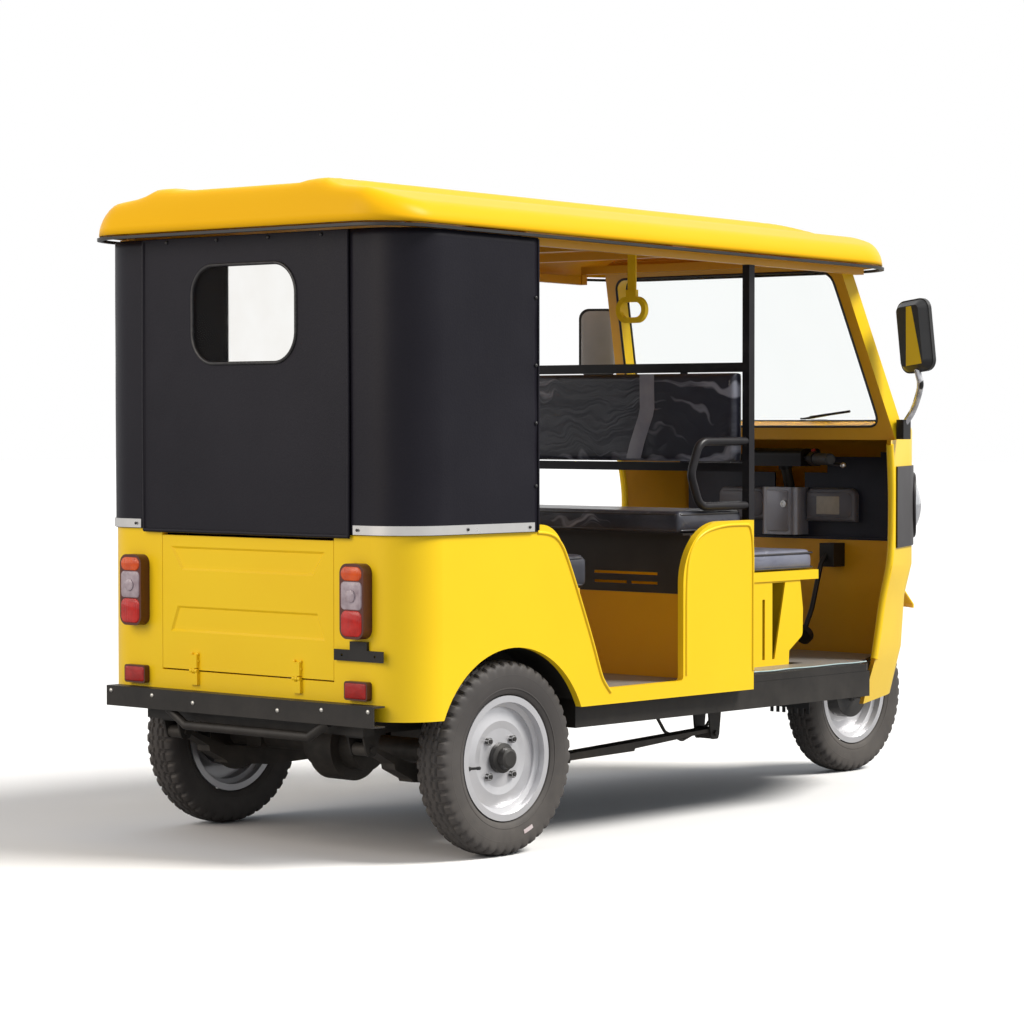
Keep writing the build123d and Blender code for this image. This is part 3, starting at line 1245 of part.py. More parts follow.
# (x, z, corner radius): door edge of the nose seen from the side
NOSE_DOOR_ROWS = [
    (727, 1100, 0),
    (759, 907, 200),
    (744, 723, 400),
    (688, 480, 0),
    (637, 324, 0),
    (630, 200, 0),
    (500, 200, 0),
    (500, 1100, 0),
]
WHEEL_OPENING = ((950.0, 1400.0), (-190.0, 190.0), (200.0, 545.0))
with BuildPart() as nose_shell:
    add(nose_loft(NOSE_SECTIONS))
    add(across(HOOD_ROWS, -700, 700), mode=Mode.INTERSECT)
inner_sections = [(z, inset + NOSE_WALL) for z, inset in NOSE_SECTIONS]
with BuildPart() as nose_hollow:
    add(nose_loft([(inner_sections[0][0] - 10, inner_sections[0][1] + 2)] + inner_sections[1:]))
    add(across(HOOD_INNER_ROWS, -700, 700), mode=Mode.INTERSECT)
with BuildPart() as nose_skin:
    add(nose_shell.part)
    add(nose_hollow.part, mode=Mode.SUBTRACT)
    add(across(NOSE_DOOR_ROWS, -700, 700), mode=Mode.SUBTRACT)
    block(*WHEEL_OPENING, Mode.SUBTRACT)
write(nose_skin, "nose_shell")

LAMP_ANGLE = 47.0
HEADLAMP_Z = 883.0
HEADLAMP_RADIUS = 93.0
HEADLAMP_BULGE = 33.0
NOSE_TRIM_GAUGE = 5.0
NOSE_TRIM_Z = (760.0, 1010.0)
NOSE_TRIM_INNER_Y = 190.0


def lamp_plane(side, reach):
    """Plane across a headlamp's axis, at a distance from the centre of the nose arc."""
    turn = math.radians(side * LAMP_ANGLE)
    axis = (math.cos(turn), math.sin(turn), 0)
    origin = (NOSE_CENTRE_X + reach * axis[0], reach * axis[1], HEADLAMP_Z)
    return Plane(origin=origin, z_dir=axis)


with BuildPart() as nose_trim:
    add(
        nose_loft([(700.0, -SEAT_CLEARANCE - NOSE_TRIM_GAUGE), (1200.0, -SEAT_CLEARANCE - NOSE_TRIM_GAUGE)])
    )
    add(nose_loft([(690.0, -SEAT_CLEARANCE), (1210.0, -SEAT_CLEARANCE)]), mode=Mode.SUBTRACT)
    block((NOSE_BACK_X - 50, 1400), (-700, 700), (600, NOSE_TRIM_Z[0]), Mode.SUBTRACT)
    block((NOSE_BACK_X - 50, 1400), (-700, 700), (NOSE_TRIM_Z[1], 1300), Mode.SUBTRACT)
    block((NOSE_BACK_X - 50, 800), (-700, 700), (600, 1300), Mode.SUBTRACT)
    block((900, 1400), (-NOSE_TRIM_INNER_Y, NOSE_TRIM_INNER_Y), (600, 1300), Mode.SUBTRACT)
    for side in (-1, 1):
        with BuildSketch(lamp_plane(side, NOSE_RADIUS - 60)):
            Circle(HEADLAMP_RADIUS + SEAT_CLEARANCE)
        extrude(amount=120, mode=Mode.SUBTRACT)
write(nose_trim, "nose_trim")

lamp_sphere = (HEADLAMP_RADIUS**2 + HEADLAMP_BULGE**2) / (2 * HEADLAMP_BULGE)


def headlamp(side):
    """Domed round lamp let into the trim panel of one side of the nose."""
    centre = lamp_plane(side, NOSE_RADIUS + HEADLAMP_BULGE - lamp_sphere).origin
    with BuildPart() as lamp:
        with BuildSketch(lamp_plane(side, NOSE_RADIUS - 60)):
            Circle(HEADLAMP_RADIUS)
        extrude(amount=110)
        with Locations((centre.X, centre.Y, centre.Z)):
            Sphere(lamp_sphere, mode=Mode.INTERSECT)
        add(nose_loft([(700.0, -SEAT_CLEARANCE), (1100.0, -SEAT_CLEARANCE)]), mode=Mode.SUBTRACT)
    return lamp.part


with BuildPart() as headlamps:
    for side in (-1, 1):
        add(headlamp(side))
write(headlamps, "headlamps")

FENDER_GAUGE = 5.0
FENDER_TOP = (622.0, 17.7)
FENDER_FOOT = (548.0, -36.0)
FENDER_HALF = 300.0
with BuildPart() as front_fender:
    add(
        nose_loft([(FENDER_TOP[0], FENDER_TOP[1] - FENDER_GAUGE), (FENDER_FOOT[0] + 12, FENDER_FOOT[1] - FENDER_GAUGE)])
    )
    add(
        nose_loft([(FENDER_FOOT[0] + 12, FENDER_FOOT[1] - FENDER_GAUGE), (FENDER_FOOT[0], FENDER_FOOT[1] - FENDER_GAUGE)])
    )
    add(nose_loft([FENDER_TOP, (FENDER_FOOT[0] + 12, FENDER_FOOT[1])]), mode=Mode.SUBTRACT)
    add(
        nose_loft([(FENDER_FOOT[0] + 12, FENDER_FOOT[1]), (FENDER_FOOT[0], FENDER_FOOT[1])]), mode=Mode.SUBTRACT
    )
    block((500, 1500), (FENDER_HALF, 700), (500, 700), Mode.SUBTRACT)
    block((500, 1500), (-700, -FENDER_HALF), (500, 700), Mode.SUBTRACT)
    block((500, 1000), (-700, 700), (500, 700), Mode.SUBTRACT)
write(front_fender, "front_fender")

# ---------------------------------------------------------------- firewall and dash
FIREWALL_TOP_Z = 774.0
with BuildPart() as firewall:
    block(FIREWALL_X, (-firewall_half, firewall_half), (FLOOR_Z, FIREWALL_TOP_Z))
write(firewall, "firewall")

DASH_X = (950.0, 956.0)
DASH_HALF = 418.0
DASH_Z = (FIREWALL_TOP_Z + SEAT_CLEARANCE, 1052.0)
CLUSTER_CUT_HALF = 150.0
STEM_CUT_HALF = 60.0
STEM_CUT_Z = 840.0
CLUSTER_CUT_Z = 985.0
LEVER_CUT_HALF = 358.0
LEVER_CUT_Z = 1036.0
with BuildPart() as dash_panel:
    block((FIREWALL_X[0], DASH_X[1]), (-firewall_half, firewall_half), (DASH_Z[0], DASH_Z[0] + 6))
    block(DASH_X, (-DASH_HALF, DASH_HALF), DASH_Z)
    block((900, 970), (-STEM_CUT_HALF, STEM_CUT_HALF), (STEM_CUT_Z, DASH_Z[1] + 5), Mode.SUBTRACT)
    block((900, 970), (-CLUSTER_CUT_HALF, CLUSTER_CUT_HALF), (CLUSTER_CUT_Z, DASH_Z[1] + 5), Mode.SUBTRACT)
    block((900, 970), (-LEVER_CUT_HALF, LEVER_CUT_HALF), (LEVER_CUT_Z, DASH_Z[1] + 5), Mode.SUBTRACT)
write(dash_panel, "dash_panel")

GLOVE_BOX_X = (925.0, DASH_X[0] - SEAT_CLEARANCE)
GLOVE_BOX_Y = (80.0, 274.0)
GLOVE_BOX_Z = (830.0, 937.0)
GLOVE_BOX_WALL = 5.0
with BuildPart() as glove_boxes:
    for side in (-1, 1):
        block(GLOVE_BOX_X, sorted(side * y for y in GLOVE_BOX_Y), GLOVE_BOX_Z)
    fillet(glove_boxes.edges().filter_by(Axis.X).group_by(Axis.Z)[-1], 28)
    fillet(glove_boxes.edges().filter_by(Axis.Y).group_by(Axis.X)[0], 12)
    for side in (-1, 1):
        y_low, y_high = sorted(side * y for y in GLOVE_BOX_Y)
        block(
            (GLOVE_BOX_X[0] + GLOVE_BOX_WALL, GLOVE_BOX_X[1] + 5),
            (y_low + GLOVE_BOX_WALL, y_high - GLOVE_BOX_WALL),
            (GLOVE_BOX_Z[0] + GLOVE_BOX_WALL, GLOVE_BOX_Z[1] - 18),
            Mode.SUBTRACT,
        )
write(glove_boxes, "glove_boxes")

COVER_FACE_X = 887.0
COVER_HALF = 75.0
COVER_Z = (787.0, 938.0)
COVER_WALL = 5.0
COVER_CORNER = 28.0
COVER_SLOT_HALF = 30.0
cover_depth = DASH_X[0] - COVER_FACE_X + 40
cover_centre = COVER_FACE_X + cover_depth / 2
with BuildPart() as column_cover:
    with BuildSketch(Plane.XY.offset(COVER_Z[0])):
        with Locations((cover_centre, 0)):
            RectangleRounded(cover_depth, 2 * COVER_HALF, COVER_CORNER)
            RectangleRounded(
                cover_depth - 2 * COVER_WALL,
                2 * (COVER_HALF - COVER_WALL),
                COVER_CORNER - COVER_WALL,
                mode=Mode.SUBTRACT,
            )
    extrude(amount=COVER_Z[1] - COVER_Z[0])
    with BuildSketch(Plane.XY.offset(COVER_Z[1] - COVER_WALL)):
        with Locations((cover_centre, 0)):
            RectangleRounded(cover_depth, 2 * COVER_HALF, COVER_CORNER)
    extrude(amount=COVER_WALL)
    block((DASH_X[0] - SEAT_CLEARANCE, 1050), (-100, 100), (COVER_Z[0] - 5, COVER_Z[1] + 5), Mode.SUBTRACT)
    block(
        (steering_x(COVER_Z[1]) - COVER_SLOT_HALF, 1050),
        (-COVER_SLOT_HALF, COVER_SLOT_HALF),
        (COVER_Z[1] - 20, COVER_Z[1] + 5),
        Mode.SUBTRACT,
    )
write(column_cover, "column_cover")

# ---------------------------------------------------------------- wiper
WIPER_PIVOT = (829.0, -145.0)
WIPER_ARM_Z = 1156.0
with BuildPart() as wiper:
    rod((WIPER_PIVOT[0], WIPER_PIVOT[1], 1139.9), (WIPER_PIVOT[0], WIPER_PIVOT[1], WIPER_ARM_Z + 4), 9)
    rod((WIPER_PIVOT[0], WIPER_PIVOT[1], WIPER_ARM_Z), (809, -266, 1171), 4)
    rod((807, -190, 1162), (804, -345, 1180), 4)
write(wiper, "wiper")

# ---------------------------------------------------------------- fork (turns with the handlebar)
LEG_Y = 78.0
LEG_RADIUS = 17.0
CROWN_Z = (572.0, 602.0)
LEG_TOP_Z = 600.0
STEM_TOP_Z = 1008.0


def steering_point(z, ahead, y):
    """Point level with a height on the steering axis, moved square to the axis and sideways."""
    rake = math.radians(STEERING_RAKE)
    return (steering_x(z) + ahead * math.cos(rake), y, z + ahead * math.sin(rake))


axle_ahead = (FRONT_AXLE_X - steering_x(TYRE_RADIUS)) * math.cos(math.radians(STEERING_RAKE))
axle_station = TYRE_RADIUS - axle_ahead * math.sin(math.radians(STEERING_RAKE))
with BuildPart() as fork:
    rod(steering_point(CROWN_Z[0], 0, 0), steering_point(STEM_TOP_Z, 0, 0), STEM_RADIUS)
    for side in (-1, 1):
        rod(
            steering_point(axle_station - 6, axle_ahead, side * LEG_Y),
            steering_point(LEG_TOP_Z, axle_ahead, side * LEG_Y),
            LEG_RADIUS,
        )
        rod((FRONT_AXLE_X, side * 59, TYRE_RADIUS), (FRONT_AXLE_X, side * (LEG_Y + 19), TYRE_RADIUS), 20)
    crown_plane = Plane(
        origin=steering_point(CROWN_Z[0], 0, 0),
        x_dir=(0, 1, 0),
        z_dir=(-math.sin(math.radians(STEERING_RAKE)), 0, math.cos(math.radians(STEERING_RAKE))),
    )
    with BuildSketch(crown_plane):
        with Locations((0, -axle_ahead / 2)):
            RectangleRounded(2 * LEG_Y + 44, axle_ahead + 56, 20)
    extrude(amount=26)
    rod((FRONT_AXLE_X, -LEG_Y - 22, TYRE_RADIUS), (FRONT_AXLE_X, LEG_Y + 22, TYRE_RADIUS), 10)
write(fork, "fork")

# ---------------------------------------------------------------- handlebar
BAR_RADIUS = 11.0
GRIP_RADIUS = 17.0
BAR_Z = 1030.0
# (x, half y, z) of the bar from the middle to the grip's end
BAR_POINTS = [
    (900.0, 70.0, 1036.0),
    (862.0, 150.0, 1032.0),
    (764.0, 300.0, BAR_Z),
]
GRIP_FROM = 0.34
SWITCH_FROM = 0.10
LEVER_ROOT = (846.0, 186.0, 1018.0)
LEVER_TIP = (800.0, 322.0, 1012.0)


def bar_point(share, side):
    """Point along the straight outer run of the bar."""
    start, end = BAR_POINTS[1], BAR_POINTS[2]
    x, y, z = [a + (b - a) * share for a, b in zip(start, end)]
    return (x, side * y, z)


with BuildPart() as handlebar:
    right = [(x, -y, z) for x, y, z in reversed(BAR_POINTS)]
    add(bent_tube(right + BAR_POINTS, BAR_RADIUS, 30))
    block((852, 958), (-118, 118), (1006, 1062))
    fillet(handlebar.edges().filter_by(Axis.Y).group_by(Axis.Z)[-1], 20)
    rod(steering_point(1000, 0, 0), steering_point(1030, 0, 0), STEM_RADIUS + 6)
    for side in (-1, 1):
        rod(bar_point(GRIP_FROM, side), bar_point(1.0, side), GRIP_RADIUS)
        rod(bar_point(SWITCH_FROM, side), bar_point(GRIP_FROM, side), GRIP_RADIUS + 5)
        lever_root = (LEVER_ROOT[0], side * LEVER_ROOT[1], LEVER_ROOT[2])
        rod(bar_point(SWITCH_FROM + 0.05, side), lever_root, 9)
        rod(lever_root, (LEVER_TIP[0], side * LEVER_TIP[1], LEVER_TIP[2]), 5)
        with Locations((LEVER_TIP[0], side * LEVER_TIP[1], LEVER_TIP[2])):
            Sphere(8)
    rod(
        steering_point(940, 0, 0), steering_point(STEM_TOP_Z + 2, 0, 0), STEM_RADIUS + SEAT_CLEARANCE, Mode.SUBTRACT
    )
write(handlebar, "handlebar")

# ---------------------------------------------------------------- door mirrors
MIRROR_SIZE = (127.0, 222.0)
MIRROR_CENTRE = (742.0, 632.0, 1408.0)
ARM_RADIUS = 9.0
# columns: side, turn of the head about Z, lean of the head
MIRROR_HEADS = [
    (-1, -5.0, -7.0),
    (1, 215.0, 0.0),
]
with BuildPart() as door_mirrors:
    for side, turn, tilt in MIRROR_HEADS:
        facing = math.radians(turn)
        head = Plane(
            origin=(MIRROR_CENTRE[0], side * MIRROR_CENTRE[1], MIRROR_CENTRE[2]),
            x_dir=(-math.sin(facing), math.cos(facing), 0),
            z_dir=(math.cos(facing), math.sin(facing), 0),
        )
        with BuildSketch(head):
            RectangleRounded(*MIRROR_SIZE, 34, rotation=tilt)
        extrude(amount=14)
        with BuildSketch(head):
            RectangleRounded(MIRROR_SIZE[0] - 6, MIRROR_SIZE[1] - 6, 31, rotation=tilt)
        extrude(amount=-26, taper=34)
        arm = [
            (742.0, side * 640.0, 1310.0),
            (748.0, side * 652.0, 1262.0),
            (800.0, side * 590.0, 1188.0),
            (790.0, side * 560.0, 1140.0),
        ]
        add(bent_tube(arm, ARM_RADIUS, 18))
        block((770, 808), sorted((side * (SCREEN_HALF_FOOT + SEAT_CLEARANCE), side * 572)), (1094, 1154))
write(door_mirrors, "door_mirrors")

# ---------------------------------------------------------------- brake pedal, mud flap, brake cables
with BuildPart() as brake_pedal:
    block((866, FIREWALL_X[0] - SEAT_CLEARANCE), (-238, -182), (690, 764))
    add(
        bent_tube(
            [(880, -205, 740), (846, -203, 700), (800, -202, 560), (760, -200, 486)],
            8,
            30,
        )
    )
    rod((752, -200, 476), (770, -200, 486), 30)
write(brake_pedal, "brake_pedal")

MUDFLAP_X = (943.0, 946.0)
MUDFLAP_HALF = 84.0
TOOTH_STEP = 24.0
TOOTH_COUNT = 7
with BuildPart() as mudflap:
    block(MUDFLAP_X, (-MUDFLAP_HALF, MUDFLAP_HALF), (228, RAIL_Z - SEAT_CLEARANCE))
    for tooth in range(TOOTH_COUNT):
        tooth_y = -MUDFLAP_HALF + TOOTH_STEP * tooth
        block(MUDFLAP_X, (tooth_y, tooth_y + TOOTH_STEP / 2), (210, 228))
write(mudflap, "mudflap")

CABLE_RADIUS = 5.0
# runs of the cables under the floor
CABLE_RUNS = [
    [
        (-19.7, -150.0, 352.0),
        (30.0, -150.0, 352.0),
        (150.0, -140.0, 215.0),
        (250.0, -125.0, 182.0),
        (380.0, -115.0, 215.0),
        (530.0, -110.0, 352.0),
        (577.7, -110.0, 352.0),
    ],
    [
        (-697.7, -90.0, 352.0),
        (-650.0, -90.0, 352.0),
        (-560.0, -90.0, 292.0),
        (-250.0, -60.0, 288.0),
        (-120.0, -60.0, 352.0),
        (-60.3, -60.0, 352.0),
    ],
]
with BuildPart() as brake_cables:
    for run in CABLE_RUNS:
        add(bent_tube(run, CABLE_RADIUS, 32))
write(brake_cables, "brake_cables")
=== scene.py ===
import math

import bmesh
import bpy
from mathutils import Euler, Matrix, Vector, noise


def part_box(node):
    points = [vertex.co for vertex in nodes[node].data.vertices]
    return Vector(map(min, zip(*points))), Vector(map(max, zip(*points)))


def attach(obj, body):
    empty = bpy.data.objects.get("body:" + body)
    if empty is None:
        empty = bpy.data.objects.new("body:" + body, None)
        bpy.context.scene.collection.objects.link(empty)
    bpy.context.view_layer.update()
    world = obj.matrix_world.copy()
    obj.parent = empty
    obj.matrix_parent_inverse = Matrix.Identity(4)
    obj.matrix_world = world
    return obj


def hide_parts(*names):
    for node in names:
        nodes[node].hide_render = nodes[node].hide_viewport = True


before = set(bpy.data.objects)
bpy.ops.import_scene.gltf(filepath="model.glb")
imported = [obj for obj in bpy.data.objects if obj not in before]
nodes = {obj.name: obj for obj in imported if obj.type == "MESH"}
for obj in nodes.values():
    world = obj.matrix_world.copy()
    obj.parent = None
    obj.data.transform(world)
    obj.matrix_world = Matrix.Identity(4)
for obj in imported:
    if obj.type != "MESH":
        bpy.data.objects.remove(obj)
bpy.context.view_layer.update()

# ================================================================ wheels
# Three 12-inch tyres on pressed steel discs. Each tyre is moulded rubber with three zig-zag
# ribs round the middle and square lugs on the shoulders; it is seated on the rim's flanges.
WHEELS = {  # body: (node prefix, hub centre, side the disc faces)
    "front_wheel": ("front", (1.242, 0.0, 0.260), 1),
    "rear_left_wheel": ("rear_left", (-1.032, 0.529, 0.260), 1),
    "rear_right_wheel": ("rear_right", (-1.032, -0.529, 0.260), -1),
}
TYRE_HALF_PROFILE = [  # (half width, radius) from the bead to the crown
    (0.0400, 0.1690), (0.0450, 0.1720), (0.0480, 0.1780), (0.0505, 0.1880), (0.0520, 0.1990),
    (0.0528, 0.2100), (0.0530, 0.2200), (0.0526, 0.2290), (0.0515, 0.2360), (0.0500, 0.2430),
    (0.0478, 0.2480), (0.0450, 0.2515), (0.0410, 0.2540), (0.0365, 0.2558), (0.0320, 0.2570),
    (0.0275, 0.2580), (0.0230, 0.2587), (0.0185, 0.2592), (0.0140, 0.2596), (0.0095, 0.2598),
    (0.0047, 0.2600), (0.0, 0.2600),
]
TYRE_STEPS = 276
LUG_COUNT = 46
LUG_DEPTH = 0.0062
GROOVE_DEPTH = 0.0055
INNER_GROOVE, OUTER_GROOVE = 0.0112, 0.0265  # their distance from the tread's middle
RIB_RADIUS, LUG_RADIUS, LUG_DEEP_RADIUS = 0.2545, 0.232, 0.2445  # where ribs, lugs and deep lugs begin
LUG_INNER = 0.0290  # half width of the tread's plain middle
LUG_FOOT_DEPTH = 0.0036
LUG_GAP = 0.34  # share of a lug's pitch that is cut away


def setup(thing, **settings):
    """Sets properties of a node, modifier, curve or light; returns it."""
    for key, value in settings.items():
        setattr(thing, key, value)
    return thing


def feed(tree, node, feeds):
    """Gives a node's inputs their values, or links them to outputs."""
    for key, source in feeds.items():
        if isinstance(source, bpy.types.NodeSocket):
            tree.links.new(source, node.inputs[key])
        else:
            node.inputs[key].default_value = source


def added(tree, kind, feeds, **settings):
    """New shader node with its settings and its inputs fed."""
    node = setup(tree.nodes.new("ShaderNode" + kind), **settings)
    feed(tree, node, feeds)
    return node


def place_in(tree):
    """Output with the place in the object's own coordinates."""
    return added(tree, "TexCoord", {}).outputs["Object"]


def noise_in(tree, place, **inputs):
    """The factor of a noise texture at a place."""
    return added(tree, "TexNoise", {"Vector": place, **inputs}).outputs["Fac"]


def maths(tree, operation, *values, **settings):
    """Result of a math node on values or outputs."""
    return added(tree, "Math", dict(enumerate(values)), operation=operation, **settings).outputs[0]


def mapped(tree, value, feeds):
    """A value carried from one range to another."""
    return added(tree, "MapRange", {"Value": value, **feeds}).outputs["Result"]


def mixed(tree, factor, first, second):
    """Colour between two colours."""
    return added(tree, "Mix", {"Factor": factor, 6: first, 7: second}, data_type="RGBA").outputs[2]


def new_group(name, inputs, outputs):
    """Empty shader group; returns it with its given outputs and its closing node."""
    group = bpy.data.node_groups.new(name, "ShaderNodeTree")
    for label, value in inputs.items():
        kind = "NodeSocketColor" if isinstance(value, tuple) else "NodeSocketFloat"
        group.interface.new_socket(name=label, in_out="INPUT", socket_type=kind).default_value = value
    for label in outputs:
        kind = "NodeSocketColor" if label == "Colour" else "NodeSocketFloat"
        group.interface.new_socket(name=label, in_out="OUTPUT", socket_type=kind)
    return group, group.nodes.new("NodeGroupInput").outputs, group.nodes.new("NodeGroupOutput")


def surface_group():
    """Shader group: a colour broken up by soft patches, fine grain and dust low down."""
    group, given, out = new_group("surface_variation", {
        "Colour": (0.5, 0.5, 0.5, 1), "Patch Colour": (0.4, 0.4, 0.4, 1),
        "Dust Colour": (0.35, 0.31, 0.26, 1), "Patch Scale": 4.0, "Patch Amount": 0.5,
        "Dust Amount": 0.0, "Dust Height": 0.5, "Grain Scale": 200.0, "Roughness": 0.5,
        "Roughness Spread": 0.1}, ("Colour", "Roughness", "Height"))
    place = place_in(group)
    patches = noise_in(group, place, Detail=6, Scale=given["Patch Scale"])
    spread = mapped(group, patches, {"From Min": 0.35, "From Max": 0.68})
    amount = maths(group, "MULTIPLY", spread, given["Patch Amount"])
    body = mixed(group, amount, given["Colour"], given["Patch Colour"])
    height = added(group, "SeparateXYZ", {0: place}).outputs["Z"]
    low = mapped(group, height, {"To Min": 1, "To Max": 0, "From Max": given["Dust Height"]})
    speckle = noise_in(group, place, Scale=26, Detail=8)
    dusty = maths(group, "MULTIPLY", low, speckle)
    dust = maths(group, "MULTIPLY", dusty, given["Dust Amount"], use_clamp=True)
    swing = maths(group, "SUBTRACT", patches, 0.5)
    feed(group, out, {
        "Colour": mixed(group, dust, body, given["Dust Colour"]),
        "Height": noise_in(group, place, Detail=4, Scale=given["Grain Scale"]),
        "Roughness": maths(group, "MULTIPLY_ADD", swing, given["Roughness Spread"], given["Roughness"])})
    return group


variation = surface_group()


def new_material(name):
    """New material; returns it with its tree and its shader."""
    material = bpy.data.materials.new(name)
    material.use_nodes = True
    return material, material.node_tree, material.node_tree.nodes["Principled BSDF"]


def add_relief(tree, shader, height, strength, distance):
    """Adds relief over a shader's present normal; returns the new normal."""
    feeds = {"Strength": strength, "Distance": distance, "Height": height}
    for below in shader.inputs["Normal"].links:
        feeds["Normal"] = below.from_socket
    normal = added(tree, "Bump", feeds).outputs["Normal"]
    feed(tree, shader, {"Normal": normal})
    return normal


def finish(name, colour, patch_colour, roughness, metallic=0.0, patch_scale=4.0, patch_amount=0.5,
           dust=0.0, dust_height=0.6, grain=200.0, bump=0.1, depth=0.0005, spread=0.15,
           coat=0.0, coat_roughness=0.1, specular=0.5):
    """Material with the shared surface variation."""
    material, tree, shader = new_material(name)
    vary = added(tree, "Group", {
        "Colour": (*colour, 1), "Patch Colour": (*patch_colour, 1), "Patch Scale": patch_scale,
        "Patch Amount": patch_amount, "Dust Amount": dust, "Dust Height": dust_height,
        "Grain Scale": grain, "Roughness": roughness, "Roughness Spread": spread}, node_tree=variation)
    add_relief(tree, shader, vary.outputs["Height"], bump, depth)
    feed(tree, shader, {
        "Base Color": vary.outputs["Colour"], "Roughness": vary.outputs["Roughness"],
        "Metallic": metallic, "Coat Weight": coat, "Coat Roughness": coat_roughness,
        "Specular IOR Level": specular})
    return material


def paint(material, *names):
    """Gives carried-over nodes their one material."""
    for name in names:
        slots = nodes[name].data.materials
        slots.clear()
        slots.append(material)
        for polygon in nodes[name].data.polygons:
            polygon.material_index = 0


def placed(name, data):
    """New object in the scene."""
    made = bpy.data.objects.new(name, data)
    bpy.context.scene.collection.objects.link(made)
    return made


def piece(name, bm, material, body="frame_and_body", smooth=40):
    """New mesh object from a bmesh, riding on a body and carrying its material."""
    mesh = bpy.data.meshes.new(name)
    bmesh.ops.recalc_face_normals(bm, faces=bm.faces)
    bm.to_mesh(mesh)
    bm.free()
    made = placed(name, mesh)
    mesh.materials.append(material)
    mesh.shade_smooth()
    mesh.set_sharp_from_angle(angle=math.radians(smooth))
    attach(made, body)
    return made


def skin(bm, rings, closed=True, capped=False):
    """Faces between neighbouring rings, or rows, of vertices."""
    for here, ahead in zip(rings, rings[1:]):
        for k in range(len(here) if closed else len(here) - 1):
            m = (k + 1) % len(here)
            bm.faces.new((here[k], here[m], ahead[m], ahead[k]))
    if capped:
        bm.faces.new(rings[0][::-1])
        bm.faces.new(rings[-1])


def round_hub(centre, radius, angle, out):
    """Point at a radius and an angle round a wheel's hub, out along its axle."""
    return (centre[0] + radius * math.sin(angle), centre[1] + out, centre[2] + radius * math.cos(angle))


def zigzag(turn, count):
    """Triangle wave from -1 to 1, with a number of teeth round one turn."""
    phase = (turn * count) % 1.0
    return 4 * abs(phase - 0.5) - 1


def tyre_radius(half, radius, side, turn):
    """Radius of the tread at a half width and turn (0 to 1), with lugs and grooves cut in."""
    y = half * side
    cut = 0.0
    if radius > RIB_RADIUS:
        wave = zigzag(turn, LUG_COUNT)
        for groove in (-INNER_GROOVE, INNER_GROOVE):
            if abs(y - groove - 0.0030 * wave) < 0.0026:
                cut = GROOVE_DEPTH
        if abs(abs(y) - OUTER_GROOVE - 0.0015 * wave) < 0.0024:
            cut = GROOVE_DEPTH
    if LUG_RADIUS < radius and half > LUG_INNER:
        lug = (turn * LUG_COUNT + (0.25 if side > 0 else 0.75)) % 1.0
        if lug < LUG_GAP:
            cut = LUG_DEPTH if radius > LUG_DEEP_RADIUS else LUG_FOOT_DEPTH
    return radius - cut


tyre_rubber = finish("tyre_rubber", (0.062, 0.057, 0.055), (0.095, 0.088, 0.084), 0.58,
                     patch_scale=9, patch_amount=0.45, dust=0.22, dust_height=0.42,
                     grain=420, bump=0.25, depth=0.0006, specular=0.25)
full_profile = [(h, r, 1) for h, r in TYRE_HALF_PROFILE]
full_profile += [(h, r, -1) for h, r in TYRE_HALF_PROFILE[-2::-1]]
for body, (prefix, centre, facing) in WHEELS.items():
    bm = bmesh.new()
    rings = []
    for step in range(TYRE_STEPS):
        turn = step / TYRE_STEPS
        rings.append([
            bm.verts.new(round_hub(centre, tyre_radius(half, radius, side, turn),
                                   2 * math.pi * step / TYRE_STEPS, half * side))
            for half, radius, side in full_profile])
    skin(bm, rings + rings[:1])
    tyre = piece(prefix + "_tyre_tread", bm, tyre_rubber, body, smooth=32)
    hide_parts(prefix + "_tyre")

# Small moulded rings and a bare maker-free label on each sidewall.
RING_STEPS = 144
SIDEWALL_RINGS = ((0.2215, 0.0011, 0.0522), (0.1860, 0.0013, 0.0498))  # (radius, bead, out)
LABEL_EDGES = ((0.2020, 0.0534), (0.2130, 0.0540))  # (radius, out)
LABEL_TURN = (math.radians(196), math.radians(206))
label_pale = finish("label_pale", (0.62, 0.56, 0.56), (0.45, 0.25, 0.25), 0.5, patch_scale=60,
                    patch_amount=0.35)
for body, (prefix, centre, facing) in WHEELS.items():
    bm = bmesh.new()
    for ring_radius, bead, stand in SIDEWALL_RINGS:
        for side in (-1, 1):
            rows = []
            for step in range(RING_STEPS):
                angle = 2 * math.pi * step / RING_STEPS
                rounds = [math.pi * k / 4 for k in range(5)]
                rows.append([
                    bm.verts.new(round_hub(centre, ring_radius + bead * 1.6 * math.cos(around), angle,
                                           side * (stand + bead * math.sin(around))))
                    for around in rounds])
            skin(bm, rows + rows[:1], closed=False)
    piece(prefix + "_tyre_rings", bm, tyre_rubber, body)
    bm = bmesh.new()
    rows = [[], []]
    for k in range(9):
        angle = LABEL_TURN[0] + (LABEL_TURN[1] - LABEL_TURN[0]) * k / 8
        for row, (radius, out) in zip(rows, LABEL_EDGES):
            row.append(bm.verts.new(round_hub(centre, radius, facing * angle, facing * out)))
    skin(bm, rows, closed=False)
    piece(prefix + "_blank_label", bm, label_pale, body)

# Discs are pressed steel, sprayed silver; the drums and hub caps behind and in them are black iron.
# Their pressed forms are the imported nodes; bright nuts and a rubber valve stem stand in each disc.
rim_silver = finish("rim_silver", (0.66, 0.66, 0.68), (0.50, 0.50, 0.52), 0.34, metallic=0.55,
                    patch_scale=14, patch_amount=0.35, dust=0.18, dust_height=0.5, grain=500,
                    bump=0.12, coat=0.25)
hub_black = finish("hub_black", (0.030, 0.029, 0.028), (0.060, 0.055, 0.050), 0.42, metallic=0.3,
                   patch_scale=22, grain=300, bump=0.2)
valve_rubber = finish("valve_rubber", (0.022, 0.022, 0.022), (0.04, 0.04, 0.04), 0.5, grain=600)


